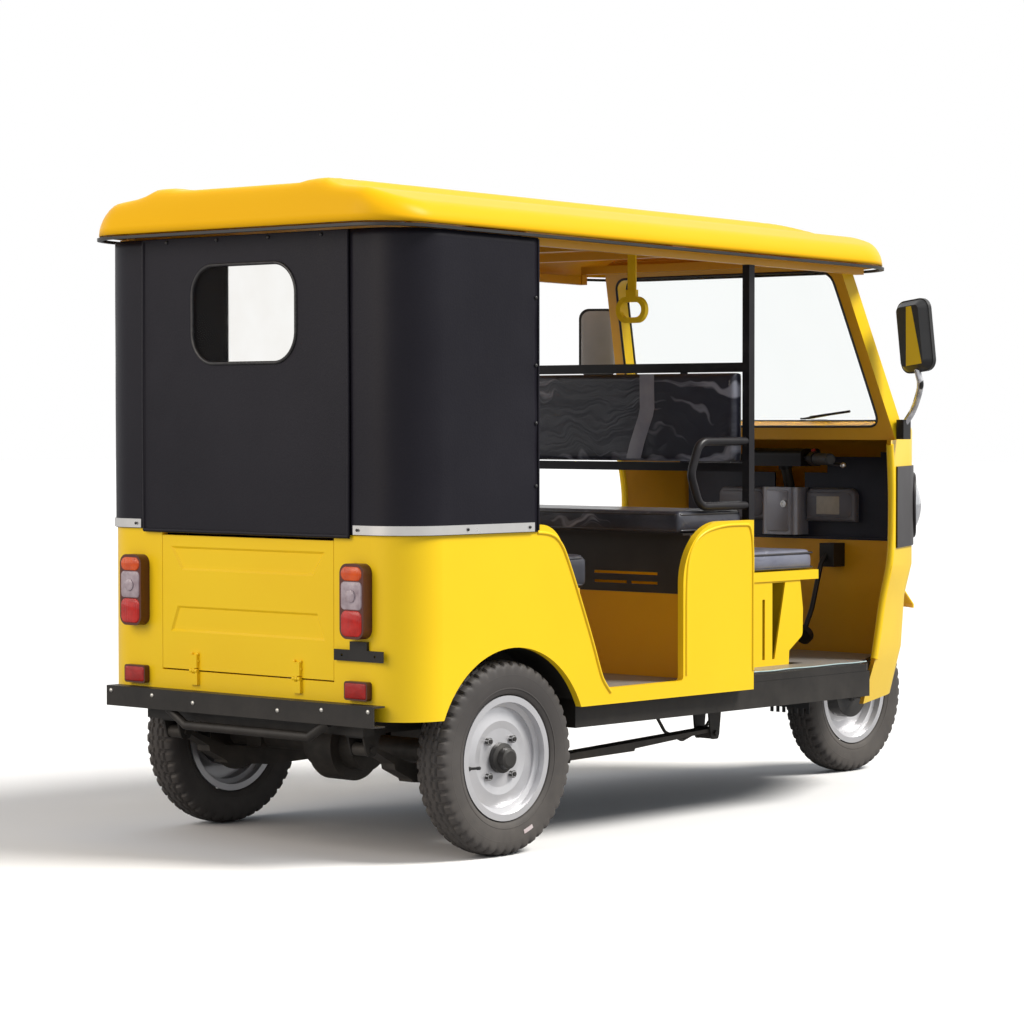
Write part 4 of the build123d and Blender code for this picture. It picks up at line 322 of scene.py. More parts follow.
def lathe(bm, rows, base, axis, steps=20):
    """Adds a turned form: (distance along the axis, radius) rows from a base point."""
    axis = Vector(axis).normalized()
    across = axis.orthogonal().normalized()
    over = axis.cross(across)
    rings = []
    for reach, radius in rows:
        turns = [2 * math.pi * k / steps for k in range(steps)]
        rings.append([
            bm.verts.new(Vector(base) + axis * reach
                         + (across * math.cos(turn) + over * math.sin(turn)) * radius)
            for turn in turns])
    skin(bm, rings, capped=True)


def turned(name, rows, bases, axis, material, body="frame_and_body", steps=20, smooth=40):
    """New piece of one turned form at each of its bases."""
    bm = bmesh.new()
    for base in bases:
        lathe(bm, rows, base, axis, steps)
    piece(name, bm, material, body, smooth)


VALVE_RADIUS, VALVE_TURN = 0.119, -math.radians(100)
VALVE_ROWS = [(0, 0.0068), (0.006, 0.0060), (0.010, 0.0038), (0.026, 0.0034), (0.027, 0.0046),
              (0.036, 0.0046), (0.038, 0.0030)]
NUT_RADIUS = 0.066
NUT_ROWS = [(0, 0.0108), (0.0088, 0.0108), (0.0112, 0.0090)]
nut_steel = finish("nut_steel", (0.62, 0.62, 0.62), (0.40, 0.40, 0.40), 0.3, metallic=0.9,
                   patch_scale=80, grain=700)
for body, (prefix, centre, facing) in WHEELS.items():
    paint(rim_silver, prefix + "_rim")
    paint(hub_black, prefix + "_hub")
    foot = round_hub(centre, VALVE_RADIUS, VALVE_TURN, facing * 0.012)
    turned(prefix + "_valve", VALVE_ROWS, [foot], (0.25, facing, 0.1), valve_rubber,
           body)
    feet = [round_hub(centre, NUT_RADIUS, math.radians(45 + 90 * k), facing * 0.0168) for k in range(4)]
    turned(prefix + "_bright_nuts", NUT_ROWS, feet, (0, facing, 0), nut_steel, body,
           steps=6, smooth=20)

# ================================================================ axle, springs and chassis
# Box rails and cross members welded up and painted black; the axle, springs and cables hang under
# them. Road dust has dulled the paint.
frame_black = finish("frame_black", (0.012, 0.011, 0.010), (0.030, 0.027, 0.025), 0.48,
                     patch_scale=7, patch_amount=0.6, dust=0.25, dust_height=0.5, grain=260,
                     bump=0.2, specular=0.3)
iron_dark = finish("iron_dark", (0.030, 0.028, 0.026), (0.075, 0.066, 0.056), 0.55, metallic=0.35,
                   patch_scale=16, patch_amount=0.6, dust=0.35, dust_height=0.5, grain=240,
                   bump=0.35, depth=0.0008, specular=0.3)
paint(frame_black, "chassis_frame", "rear_bumper", "wheel_arches", "plate_bracket", "brake_pedal",
      "battery_box")
paint(iron_dark, "rear_axle", "leaf_springs", "brake_cables", "fork")

# Round-headed bolts, zinc plated, stand along the bumper.
bolt_zinc = finish("bolt_zinc", (0.62, 0.60, 0.56), (0.45, 0.43, 0.38), 0.32, metallic=0.85,
                   patch_scale=120, grain=600)
BUMPER_BOLTS = [(-0.500, 0.409), (0.500, 0.409), (-0.165, 0.393), (0.165, 0.393), (-0.330, 0.404),
                (0.330, 0.404)]
DOME_ROWS = [(0, 1.0), (0.12, 1.0), (0.38, 0.84), (0.55, 0.55), (0.6, 0.2)]  # in head radii


def bolt_heads(name, places, axis, radius, material, body="frame_and_body"):
    """One object of domed bolt heads at places, standing out along an axis."""
    rows = [(reach * radius, width * radius) for reach, width in DOME_ROWS]
    turned(name, rows, places, axis, material, body, steps=14)


bolt_heads("bumper_bolts", [(-1.4798, y, z) for y, z in BUMPER_BOLTS], (-1, 0, 0), 0.0062, bolt_zinc)

# ================================================================ body panels
# Pressed sheet steel, sprayed bright yellow over all: side panels with rolled edges, the rear
# panel, the drop-down tailgate, the seat boxes and the driver's floor edge.
YELLOW = (0.98, 0.66, 0.012)
YELLOW_DEEP = (0.94, 0.56, 0.008)
yellow_paint = finish("yellow_paint", YELLOW, YELLOW_DEEP, 0.36, patch_scale=2.4,
                      patch_amount=0.35, dust=0.10, dust_height=0.5, grain=90, bump=0.03,
                      depth=0.0004, spread=0.10, coat=0.10, coat_roughness=0.12, specular=0.25)
# The roof is the same yellow as the body; its colour is painted deeper to hold down the strong light on its
# top: painted shade.
roof_painted_shade_yellow = finish("roof_painted_shade_yellow", (0.92, 0.50, 0.008), (0.88, 0.46, 0.006), 0.34, patch_scale=1.8,
                    patch_amount=0.3, grain=60, bump=0.03, depth=0.0004, spread=0.10, specular=0.08)
# Painted shade: a darker, deeper copy of the same yellow, put on inward and rear-facing surfaces.
painted_shade_yellow = finish("painted_shade_yellow", (0.80, 0.40, 0.006), (0.68, 0.31, 0.004), 0.42,
                      patch_scale=2.4, dust=0.12, grain=90, bump=0.04, depth=0.0004, spread=0.10,
                      coat=0.15)
paint(yellow_paint, "body_sides", "rear_panel", "tailgate", "driver_seat_base", "windscreen_frame",
      "front_fender", "grab_straps")
# These parts face into the cab and take the darker copy, as painted shade.
paint(painted_shade_yellow, "jump_seat_riser", "bench_box", "firewall", "roof_frame")
# The windscreen frame's rear-facing faces take the darker copy too, as painted shade.
nodes["windscreen_frame"].data.materials.append(painted_shade_yellow)
for polygon in nodes["windscreen_frame"].data.polygons:
    polygon.material_index = 1 if polygon.normal.x < -0.3 else 0

# The nose shell's facets are welded, so that its outside is smooth; its inward faces get painted shade.
bm = bmesh.new()
bm.from_mesh(nodes["nose_shell"].data)
bmesh.ops.remove_doubles(bm, verts=bm.verts, dist=0.00002)
nose_skin = piece("nose_skin", bm, yellow_paint, smooth=32)
nose_skin.data.materials.append(painted_shade_yellow)
for polygon in nose_skin.data.polygons:
    outward = Vector((polygon.center.x - 0.60, polygon.center.y, 0))
    polygon.material_index = 1 if polygon.normal.dot(outward) < 0 else 0
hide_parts("nose_shell")

# The roof is one moulded shell: its edge rolls up from the lip, a raised panel runs along the crown,
# and its underside gets painted shade, a darker copy of the yellow.
ROOF_X = (-1.502, 0.745)  # its rear and front edges
ROOF_HALF = 0.612
ROOF_CORNERS = (0.150, 0.210)  # plan radius at the rear and at the front
ROOF_EDGE_ROLL = 0.045
ROOF_SHEET = 0.007
ROOF_BLEND = 0.010  # soft meeting of the two crowns
ROOF_ALONG = [  # (x, height over the rear lip)
    (-1.502, 0.090), (-1.442, 0.126), (0.100, 0.100), (0.420, 0.090), (0.600, 0.062), (0.710, 0.0),
    (0.745, -0.047)]
ROOF_ACROSS = [  # (distance from the middle, height over the lip)
    (0.0, 0.112), (0.240, 0.112), (0.268, 0.124), (0.336, 0.124), (0.368, 0.100), (0.490, 0.088),
    (0.590, 0.052), (0.612, 0.046)]
ROOF_SPINE = (-0.890, 0.133)  # the line that the skin's rings shrink to
ROOF_RINGS = 46
LIP_REAR, LIP_FALL = 1.664, 0.0213  # height of the lip at the rear, and its fall per metre


def lip_height(x):
    """Height of the roof's lip at a distance along the vehicle."""
    return LIP_REAR - LIP_FALL * (x - ROOF_X[0])


def level(rows, at):
    """Value at a place, read from (place, value) rows."""
    for (low_at, low), (high_at, high) in zip(rows, rows[1:]):
        if at <= high_at:
            return low + (high - low) * (at - low_at) / (high_at - low_at)


def eased(rows, place, reach):
    """Value at a place, averaged over a short reach each way."""
    total = 0.0
    for k in range(9):
        total += level(rows, min(max(place + reach * (k / 4 - 1), rows[0][0]), rows[-1][0]))
    return total / 9


def roof_height(x, y):
    """Height of the roof's outer face."""
    ahead = x > 0
    radius = ROOF_CORNERS[1] if ahead else ROOF_CORNERS[0]
    inset = (ROOF_X[1] - x if ahead else x - ROOF_X[0], ROOF_HALF - abs(y))
    if max(inset) < radius:
        edge = radius - math.hypot(radius - inset[0], radius - inset[1])
    else:
        edge = min(inset)
    edge = min(max(edge, 0.0), ROOF_EDGE_ROLL)
    rolled = math.sqrt(max(0.0, 1 - (1 - edge / ROOF_EDGE_ROLL) ** 2))
    along = eased(ROOF_ALONG, x, 0.020) + LIP_FALL * (x - ROOF_X[0])
    across = eased(ROOF_ACROSS, abs(y), 0.014)
    share = min(max(0.5 + 0.5 * (across - along) / ROOF_BLEND, 0.0), 1.0)
    rise = across * (1 - share) + along * share - ROOF_BLEND * share * (1 - share)
    return lip_height(x) + rolled * max(rise, 0.0)


corners = []
for end, side, start in ((1, 1, 0), (0, 1, 90), (0, -1, 180), (1, -1, 270)):
    radius = ROOF_CORNERS[end]
    cx, cy = ROOF_X[end] + (-radius if end else radius), side * (ROOF_HALF - radius)
    for k in range(15):
        turn = math.radians(start + 90 * k / 14)
        corners.append((cx + radius * math.cos(turn), cy + radius * math.sin(turn)))
plan = []
for here, ahead in zip(corners, corners[1:] + corners[:1]):
    count = max(1, round(math.dist(here, ahead) / 0.035))
    plan += [(here[0] + (ahead[0] - here[0]) * k / count, here[1] + (ahead[1] - here[1]) * k / count)
             for k in range(count)]
bm = bmesh.new()
rings = []
for ring in range(ROOF_RINGS):
    reach = 1 - (ring / (ROOF_RINGS - 1)) ** 1.6
    row = []
    for x, y in plan:
        spine = min(max(x, ROOF_SPINE[0]), ROOF_SPINE[1])
        at = (spine + (x - spine) * reach, y * reach)
        row.append(bm.verts.new((*at, roof_height(*at))))
    rings.append(row)
skin(bm, rings)
bmesh.ops.remove_doubles(bm, verts=bm.verts, dist=0.0003)
roof_top = piece("roof_moulding", bm, roof_painted_shade_yellow, smooth=60)
# The shell's underside takes the darker copy, as painted shade.
roof_top.data.materials.append(painted_shade_yellow)
setup(roof_top.modifiers.new("sheet", "SOLIDIFY"), thickness=ROOF_SHEET, offset=-1, material_offset=1)
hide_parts("roof_shell")


def strand(name, points, radius, material, closed=False, resolution=3):
    """A round bead, wire or seam along points, as a bevelled curve with soft corners."""
    curve = setup(bpy.data.curves.new(name, "CURVE"), dimensions="3D", bevel_depth=radius,
                  bevel_resolution=resolution, use_fill_caps=True)
    spline = curve.splines.new("NURBS")
    spline.points.add(len(points) - 1)
    for point, place in zip(spline.points, points):
        point.co = (*place, 1)
    setup(spline, order_u=3, use_endpoint_u=not closed, use_cyclic_u=closed, resolution_u=6)
    made = placed(name, curve)
    curve.materials.append(material)
    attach(made, "frame_and_body")


# Rolled beads stand along the door edges of the side panels and quarter panels.
SIDES = ((-1, "right"), (1, "left"))
FRONT_PANEL_BEAD = [(-0.011, 0.436), (-0.011, 0.640), (-0.011, 0.853), (-0.060, 0.855), (-0.150, 0.855),
                    (-0.250, 0.835), (-0.301, 0.780), (-0.313, 0.700), (-0.313, 0.560), (-0.313, 0.440)]
REAR_PANEL_BEAD = [(-0.940, 0.856), (-0.890, 0.855), (-0.845, 0.830), (-0.812, 0.770), (-0.762, 0.660),
                   (-0.712, 0.545), (-0.684, 0.470), (-0.668, 0.440), (-0.640, 0.412)]
for side, hand in SIDES:
    for label, rows in (("front", FRONT_PANEL_BEAD), ("rear", REAR_PANEL_BEAD)):
        strand(f"{label}_panel_bead_{hand}", [(x, side * 0.5995, z) for x, z in rows], 0.0045,
               yellow_paint)

# Tail lamps are three moulded lenses, amber over clear over red, in a dark housing.
# The reflectors below them are red and ribbed.
LAMP_FACE_X = -1.4475
LAMP_Y = 0.430
LAMP_HALF_WIDTH = 0.0375
LENS_BACK, LENS_OUT = 0.020, 0.0245  # distances outside the lamp's face
LENS_BANDS = [  # (name, low z, high z, colour, deeper colour, corner, ribs)
    ("amber", 0.742, 0.779, (0.78, 0.10, 0.003), (0.55, 0.05, 0.002), 0.018, 42),
    ("clear", 0.667, 0.7405, (0.50, 0.42, 0.46), (0.26, 0.19, 0.22), 0.012, 60),
    ("red", 0.598, 0.6655, (0.62, 0.014, 0.006), (0.36, 0.006, 0.003), 0.018, 42),
]
paint(finish("lamp_housing", (0.10, 0.022, 0.012), (0.05, 0.016, 0.012), 0.35, patch_scale=30,
             grain=400), "rear_lamps")


def ribbed(material, scale, strength):
    """Adds moulded lens ribs to a material's relief."""
    tree = material.node_tree
    ribs = added(tree, "TexWave", {"Scale": scale, "Vector": place_in(tree)}, bands_direction="Y")
    add_relief(tree, tree.nodes["Principled BSDF"], ribs.outputs["Fac"], strength, 0.0012)


def rounded_loop(across, up, half_across, half_up, corner, steps, shrink=0.0):
    """Points round a rectangle with rounded corners, from its middle and its half sizes."""
    points = []
    for ca, cu, start in ((1, 1, 0), (-1, 1, 90), (-1, -1, 180), (1, -1, 270)):
        for k in range(steps):
            turn = math.radians(start + 90 * k / (steps - 1))
            points.append((across + ca * (half_across - corner) + (corner - shrink) * math.cos(turn),
                           up + cu * (half_up - corner) + (corner - shrink) * math.sin(turn)))
    return points


def rounded_slab(bm, x_back, x_front, y, z, half_width, half_height, corner, bevel=0.003):
    """Cushion-cornered plate whose face looks along -X."""
    rings = []
    for x, shrink in ((x_back, 0), (x_front + bevel, 0), (x_front + bevel * 0.3, bevel * 0.4),
                      (x_front, bevel)):
        loop = rounded_loop(y, z, half_width, half_height, corner, 6, shrink)
        rings.append([bm.verts.new((x, *point)) for point in loop])
    skin(bm, rings, capped=True)


for label, z_low, z_high, colour, deep, corner, ribs in LENS_BANDS:
    lens = finish("lens_" + label, colour, deep, 0.12, patch_scale=40, patch_amount=0.7, grain=160,
                  bump=0.3, coat=0.35, coat_roughness=0.04, specular=0.3)
    ribbed(lens, ribs, 0.5)
    bm = bmesh.new()
    for side in (-1, 1):
        rounded_slab(bm, LAMP_FACE_X - LENS_BACK, LAMP_FACE_X - LENS_OUT, side * LAMP_Y,
                     (z_low + z_high) / 2, LAMP_HALF_WIDTH, (z_high - z_low) / 2, corner)
    piece("tail_lens_" + label, bm, lens, smooth=60)
turned("tail_lamp_bulbs", [(0, 0.017), (0.004, 0.0165), (0.0055, 0.0140), (0.0065, 0.010)],
       [(LAMP_FACE_X - 0.0243, side * LAMP_Y, 0.703) for side in (-1, 1)], (-1, 0, 0),
       bpy.data.materials["lens_clear"], steps=28)
reflector_red = finish("reflector_red", (0.50, 0.010, 0.006), (0.26, 0.005, 0.003), 0.22,
                       patch_scale=50, grain=900, bump=0.8, coat=0.3, coat_roughness=0.05,
                       specular=0.3)
ribbed(reflector_red, 120, 0.6)
bm = bmesh.new()
for side in (-1, 1):
    rounded_slab(bm, -1.4535, -1.4575, side * LAMP_Y, 0.457, 0.0385, 0.0205, 0.006)
piece("reflector_faces", bm, reflector_red, smooth=60)

# The tailgate hangs on two strap hinges; their bolts are sprayed over with them and ride with the gate.
bolt_heads("hinge_bolts", [(-1.4405, side * 0.200 + shift, z) for side in (-1, 1)
                           for shift in (-0.012, 0.012) for z in (0.502, 0.522)],
           (-1, 0, 0), 0.0042, yellow_paint, "tailgate")

# ================================================================ floor, mats and slotted panel
# The floor is black sheet over the rails; grey rubber mats lie on it, wrapped in clear film whose
# edge shows pale blue along the driver's sill. The slotted panel under the jump seat is black sheet.
MAT_EDGE_Y, MAT_TOP = 0.543, 0.4212
mat_grey = finish("mat_grey", (0.25, 0.235, 0.215), (0.17, 0.16, 0.15), 0.6, patch_scale=6,
                  patch_amount=0.6, grain=130, bump=0.5, depth=0.001, coat=0.3, coat_roughness=0.2)
paint(frame_black, "floor")
paint(mat_grey, "floor_mats")
film_edge = finish("film_edge", (0.40, 0.56, 0.57), (0.62, 0.70, 0.70), 0.25, patch_scale=30,
                   grain=90, bump=0.6, coat=1.0)
for side, hand in SIDES:
    strand("mat_film_edge_" + hand, [
        (x, side * (MAT_EDGE_Y - 0.00035 * abs(math.sin(9 * x))), MAT_TOP + 0.0014 * math.sin(31 * x))
        for x in (0.02, 0.08, 0.16, 0.24, 0.32, 0.40, 0.48, 0.56, 0.62)],
        0.0022, film_edge)
paint(finish("vent_black", (0.013, 0.012, 0.012), (0.028, 0.026, 0.025), 0.5, patch_scale=12,
             grain=260, bump=0.15), "jump_seat_panel")

# ================================================================ seats
# Foam pads covered in dark navy vinyl, still in the clear film they were delivered in. The pads are
# sewn closed forms; the film's crinkles catch the light in their coat and carry painted highlight as pale
# streaks.
SEATS = {  # node: (slot, colour, patch colour, crown of the pad, fullness, scale of the film's creases)
    "bench_cushion": ("seat_vinyl", (0.020, 0.021, 0.030), (0.040, 0.042, 0.056), 0.012, 0.8, 6),
    "bench_back": ("seat_vinyl", (0.015, 0.016, 0.027), (0.034, 0.036, 0.054), 0.010, 0.8, 6),
    "jump_seat_cushion": ("seat_vinyl", (0.024, 0.026, 0.038), (0.075, 0.078, 0.098), 0.010, 0.8, 9),
    "driver_seat_cushion": (
        "seat_vinyl_blue", (0.150, 0.160, 0.215), (0.270, 0.280, 0.340), 0.010, 0.75, 11),
    "backrest_cushion": ("seat_vinyl", (0.014, 0.015, 0.026), (0.032, 0.034, 0.054), 0.008, 0.85, 7),
}
FILM_PAINTED_HIGHLIGHT = (0.52, 0.53, 0.62, 1)


def film_group():
    """Shader group: height of thin film pulled into long, broken streaks, and a mask for their painted
    highlight.
    """
    group, given, out = new_group("film_crinkles", {"Scale": 9.0, "Pull": 1.6}, ("Height", "Mask"))
    place = place_in(group)
    bend = added(group, "TexNoise", {"Scale": 3.5, "Detail": 3, "Vector": place})
    shifted = added(group, "VectorMath", {0: bend.outputs["Color"], 1: (0.35, 0.35, 0.35), 2: place},
                    operation="MULTIPLY_ADD").outputs[0]
    streaks = []
    for slant in (35, -50):
        slanted = added(group, "Mapping", {
            "Rotation": (math.radians(slant), 0, math.radians(slant)), "Scale": (0.22, 0.30, 2.4),
            "Vector": shifted})
        streaks.append(noise_in(group, slanted.outputs["Vector"], Detail=3, Scale=given["Scale"]))
    both = maths(group, "MAXIMUM", *streaks)
    feed(group, out, {"Height": maths(group, "MULTIPLY", both, given["Pull"]),
                      "Mask": mapped(group, both, {"From Min": 0.64, "From Max": 0.72})})
    return group


crinkles = film_group()


def wrap_in_film(material, scale, strength, haze):
    """Puts clear crinkled film over a material: sharp coat highlights, and painted highlight in pale
    streaks.
    """
    tree = material.node_tree
    shader = tree.nodes["Principled BSDF"]
    film = added(tree, "Group", {"Scale": scale}, node_tree=crinkles)
    normal = add_relief(tree, shader, film.outputs["Height"], strength, 0.010)
    # Painted highlight: the pale film colour is mixed into the base colour along the streaks, by the haze
    # amount.
    amount = maths(tree, "MULTIPLY", film.outputs["Mask"], haze)
    under = shader.inputs["Base Color"].links[0].from_socket
    feed(tree, shader, {"Coat Normal": normal, "Base Color": mixed(tree, amount, under, FILM_PAINTED_HIGHLIGHT)})


PAD_VOXEL = 0.009
PAD_GIVE = 0.15  # share of the crown that the form gives up, and the air pressure fills again
PAD_STEPS = 10  # frames that the swelling takes


def stuffed_pad(name, node, material, crown):
    """Sewn pad grown from a node's own form: remeshed, swollen by air pressure, with its shape held."""
    pad = placed(name, nodes[node].data.copy())
    pad.data.materials.clear()
    low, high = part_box(node)
    centre = (Vector(low) + Vector(high)) / 2
    give = PAD_GIVE * crown
    shrink = [max(0.2, 1 - 2 * give / (b - a)) for a, b in zip(low, high)]
    for vertex in pad.data.vertices:
        for k in range(3):
            vertex.co[k] = centre[k] + (vertex.co[k] - centre[k]) * shrink[k]
    bpy.context.view_layer.objects.active = pad
    pad.select_set(True)
    remesh = setup(pad.modifiers.new("voxels", "REMESH"), mode="VOXEL", voxel_size=PAD_VOXEL)
    bpy.ops.object.modifier_apply(modifier=remesh.name)
    rest = [vertex.co.copy() for vertex in pad.data.vertices]
    cloth = pad.modifiers.new("cloth", "CLOTH")
    setup(cloth.settings, quality=4, use_pressure=True, uniform_pressure_force=14,
          tension_stiffness=15, compression_stiffness=15)
    cloth.settings.effector_weights.gravity = 0
    setup(cloth.point_cache, frame_start=1, frame_end=PAD_STEPS)
    for step in range(1, PAD_STEPS + 1):
        bpy.context.scene.frame_set(step)
    bpy.ops.object.modifier_apply(modifier=cloth.name)
    bpy.context.scene.frame_set(1)
    for vertex, start in zip(pad.data.vertices, rest):
        moved = vertex.co - start
        for k in range(3):
            if moved[k] * (start[k] - centre[k]) < 0:
                moved[k] = 0.0  # the seams hold the pad's edges out
        if moved.length > crown:
            moved *= crown / moved.length
        vertex.co = start + moved
        for k in range(3):
            vertex.co[k] = min(max(vertex.co[k], low[k]), high[k])
    smooth = setup(pad.modifiers.new("even", "SMOOTH"), factor=0.5, iterations=4)
    bpy.ops.object.modifier_apply(modifier=smooth.name)
    pad.select_set(False)
    pad.data.materials.append(material)
    pad.data.shade_smooth()
    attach(pad, "frame_and_body")
    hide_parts(node)
    return pad


for node, (slot, colour, patches, crown, fill, creases) in SEATS.items():
    vinyl = finish(node + "_vinyl", colour, patches, 0.42, patch_scale=5, patch_amount=0.7,
                   grain=520, bump=0.18, depth=0.0006, coat=0.35, specular=0.3)
    wrap_in_film(vinyl, creases, 0.30, 0.50)
    pad = stuffed_pad(node + "_pad", node, vinyl, crown)

# Piping is sewn round the pads' top and bottom edges; grey tape holds the film on the backrest.
piping_vinyl = finish("piping_vinyl", (0.016, 0.016, 0.022), (0.04, 0.04, 0.05), 0.4,
                      patch_scale=30, grain=500, coat=0.5)
film_tape = finish("film_tape", (0.21, 0.21, 0.26), (0.29, 0.29, 0.34), 0.38, patch_scale=18,
                   patch_amount=0.8, grain=240, bump=0.3, coat=0.6)
PIPING_RADIUS, PIPING_CORNER = 0.0028, 0.022
for node, inset in (("jump_seat_cushion", 0.004), ("driver_seat_cushion", 0.004), ("bench_cushion", 0.005)):
    low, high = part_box(node)
    for label, z in (("top", high[2] - 0.010), ("foot", low[2] + 0.007)):
        ring = rounded_loop((high[0] + low[0]) / 2, 0, (high[0] - low[0]) / 2 - inset, high[1] - inset,
                            PIPING_CORNER, 5)
        strand(f"{node}_piping_{label}", [(x, y, z) for x, y in ring], PIPING_RADIUS, piping_vinyl,
               closed=True)
TAPE_X = -0.0192
TAPE_ROWS = [  # (y, z) down the middle of the tape
    (-0.2095, 1.2885), (-0.2100, 1.235), (-0.2110, 1.190), (-0.205, 1.165), (-0.190, 1.130),
    (-0.172, 1.085), (-0.158, 1.040)]
TAPE_HALF = 0.028
bm = bmesh.new()
skin(bm, [[bm.verts.new((TAPE_X, y + side * TAPE_HALF, z)) for side in (-1, 1)] for y, z in TAPE_ROWS],
     closed=False)
piece("backrest_tape", bm, film_tape)

# ================================================================ pillars, handles and cab frame
# Square and round steel tube, welded and painted gloss black; the handles are bent from one length.
tube_black = finish("tube_black", (0.013, 0.012, 0.014), (0.026, 0.024, 0.026), 0.34,
                    patch_scale=10, grain=320, bump=0.12, coat=0.05, coat_roughness=0.15,
                    specular=0.2)
paint(tube_black, "pillar_frame", "grab_handles", "bench_back_frame", "handlebar", "wiper")

# ================================================================ canvas sides and rear flap
# Black coated canvas is stretched round the rear corners from the roof rail down to the aluminium
# trim, and a flap of the same cloth with a film window closes the back. Piping runs down the seams.
CANVAS_OUT = 0.6040
CANVAS_REAR = -1.4410
CANVAS_CORNER = 0.1340
CANVAS_INNER_Y = 0.395
CANVAS_FRONT = -0.942
CANVAS_FOOT = 0.8585


def canvas_cloth_group():
    """Shader group: fine woven backing of two crossed waves."""
    group, given, out = new_group("coated_weave", {"Weave Scale": 480.0}, ("Height",))
    place = place_in(group)
    threads = [
        added(group, "TexWave", {"Distortion": 0.6, "Vector": place, "Scale": given["Weave Scale"]},
              bands_direction=direction).outputs["Fac"] for direction in ("Z", "Y")]
    feed(group, out, {"Height": maths(group, "ADD", *threads)})
    return group


canvas_black = finish("canvas_black", (0.0085, 0.0078, 0.0125), (0.0145, 0.0135, 0.0195), 0.44,
                      patch_scale=2.2, patch_amount=0.8, grain=170, bump=0.3, depth=0.0009,
                      spread=0.20, specular=0.16)
weave_tree = canvas_black.node_tree
weave = added(weave_tree, "Group", {}, node_tree=canvas_cloth_group())
add_relief(weave_tree, weave_tree.nodes["Principled BSDF"], weave.outputs["Height"], 0.10, 0.0004)


def canvas_path(side, out):
    """Points round one rear corner, from the rear seam to the forward edge, with outward normals."""
    reach = CANVAS_OUT + out
    corner = CANVAS_CORNER + out
    centre = (CANVAS_REAR - out + corner, reach - corner)
    straight = centre[1] - CANVAS_INNER_Y
    points = [((CANVAS_REAR - out, CANVAS_INNER_Y + straight * k / 4), (-1, 0)) for k in range(4)]
    for k in range(15):
        turn = math.pi / 2 * k / 14
        points.append(((centre[0] - corner * math.cos(turn), centre[1] + corner * math.sin(turn)),
                       (-math.cos(turn), math.sin(turn))))
    for k in range(1, 19):
        points.append(((centre[0] + (CANVAS_FRONT - centre[0]) * k / 18, reach), (0, 1)))
    return [((x, side * y), (nx, side * ny)) for (x, y), (nx, ny) in points]


def thicken(made, thickness, **settings):
    """Gives a cloth or film its thickness."""
    setup(made.modifiers.new("thickness", "SOLIDIFY"), thickness=thickness, **settings)


CANVAS_ROWS = 40
for side, hand in SIDES:
    bm = bmesh.new()
    columns = []
    path = canvas_path(side, 0.0)
    for k, ((x, y), (nx, ny)) in enumerate(path):
        top = lip_height(x) - 0.0140
        column = []
        for row in range(CANVAS_ROWS + 1):
            share = row / CANVAS_ROWS
            z = CANVAS_FOOT + (top - CANVAS_FOOT) * share
            free = math.sin(math.pi * share) ** 0.6
            fold = 0.0010 * noise.noise(Vector((x * 9, y * 9 + side * 3, z * 2.2))) * free
            fold += 0.0006 * noise.noise(Vector((x * 24, y * 24, z * 6)))
            pull = 0.0018 * math.exp(-((k - len(path) + 2.5) / 2.0) ** 2) * math.sin(z * 19) ** 2 * free
            column.append(bm.verts.new((x + nx * (fold - pull), y + ny * (fold - pull), z)))
        columns.append(column)
    for here, ahead in zip(columns, columns[1:]):
        for row in range(CANVAS_ROWS):
            bm.faces.new((here[row], ahead[row], ahead[row + 1], here[row + 1]))
    canvas = piece("canvas_side_" + hand, bm, canvas_black, smooth=60)
    thicken(canvas, 0.0016, offset=0)
    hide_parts("canvas_sides")
    # A folded hem down the forward edge and a welt down the rear seam.
    for label, index, radius, out in (("hem", -1, 0.0035, 0.0008), ("welt", 0, 0.0042, 0.0030)):
        (x, y), (nx, ny) = path[index]
        rise = lip_height(x) - 0.022 - CANVAS_FOOT
        strand(f"canvas_{label}_{hand}", [
            (x + nx * out, y + ny * out, CANVAS_FOOT + 0.004 + rise * k / 8) for k in range(9)],
            radius, canvas_black)
rivet_black = finish("rivet_black", (0.022, 0.021, 0.022), (0.06, 0.06, 0.06), 0.35, metallic=0.4,
                     patch_scale=90, grain=500)
bolt_heads("canvas_rivets", [(-0.952, side * 0.6062, z) for side in (-1, 1)
                             for z in (1.479, 1.300, 1.147, 0.980)],
           (0, -1, 0), 0.0050, rivet_black)
bolt_heads("flap_top_rivets", [(-1.4478, y, 1.638) for y in (-0.30, -0.10, 0.10, 0.30)],
           (-1, 0, 0), 0.0050, rivet_black)

# The flap has a rounded window, bound with black tape, with clear film sewn in behind it.
FLAP_X = -1.4452
FLAP_HALF = 0.400
FLAP_Z = (0.8495, 1.6485)
FLAP_RINGS = 46
WINDOW_Y = (-0.199, 0.193)
WINDOW_Z = (1.312, 1.566)
WINDOW_MID = ((WINDOW_Y[0] + WINDOW_Y[1]) / 2, (WINDOW_Z[0] + WINDOW_Z[1]) / 2)
WINDOW_CORNER = 0.078
WINDOW_STEPS = 96


def window_outline(grow, count=WINDOW_STEPS):
    """Points round the rear window at an even turn, as (y, z)."""
    half_y, half_z = (WINDOW_Y[1] - WINDOW_Y[0]) / 2 + grow, (WINDOW_Z[1] - WINDOW_Z[0]) / 2 + grow
    return rounded_loop(*WINDOW_MID, half_y, half_z, WINDOW_CORNER + grow, count // 4)


def edge_point(y, z):
    """Where the line from the window's middle through a point meets the flap's edge."""
    reach = 1e9
    for step, middle, low, high in ((y - WINDOW_MID[0], WINDOW_MID[0], -FLAP_HALF, FLAP_HALF),
                                    (z - WINDOW_MID[1], WINDOW_MID[1], *FLAP_Z)):
        if step:
            reach = min(reach, ((high if step > 0 else low) - middle) / step)
    return tuple(middle + (at - middle) * reach for middle, at in zip(WINDOW_MID, (y, z)))


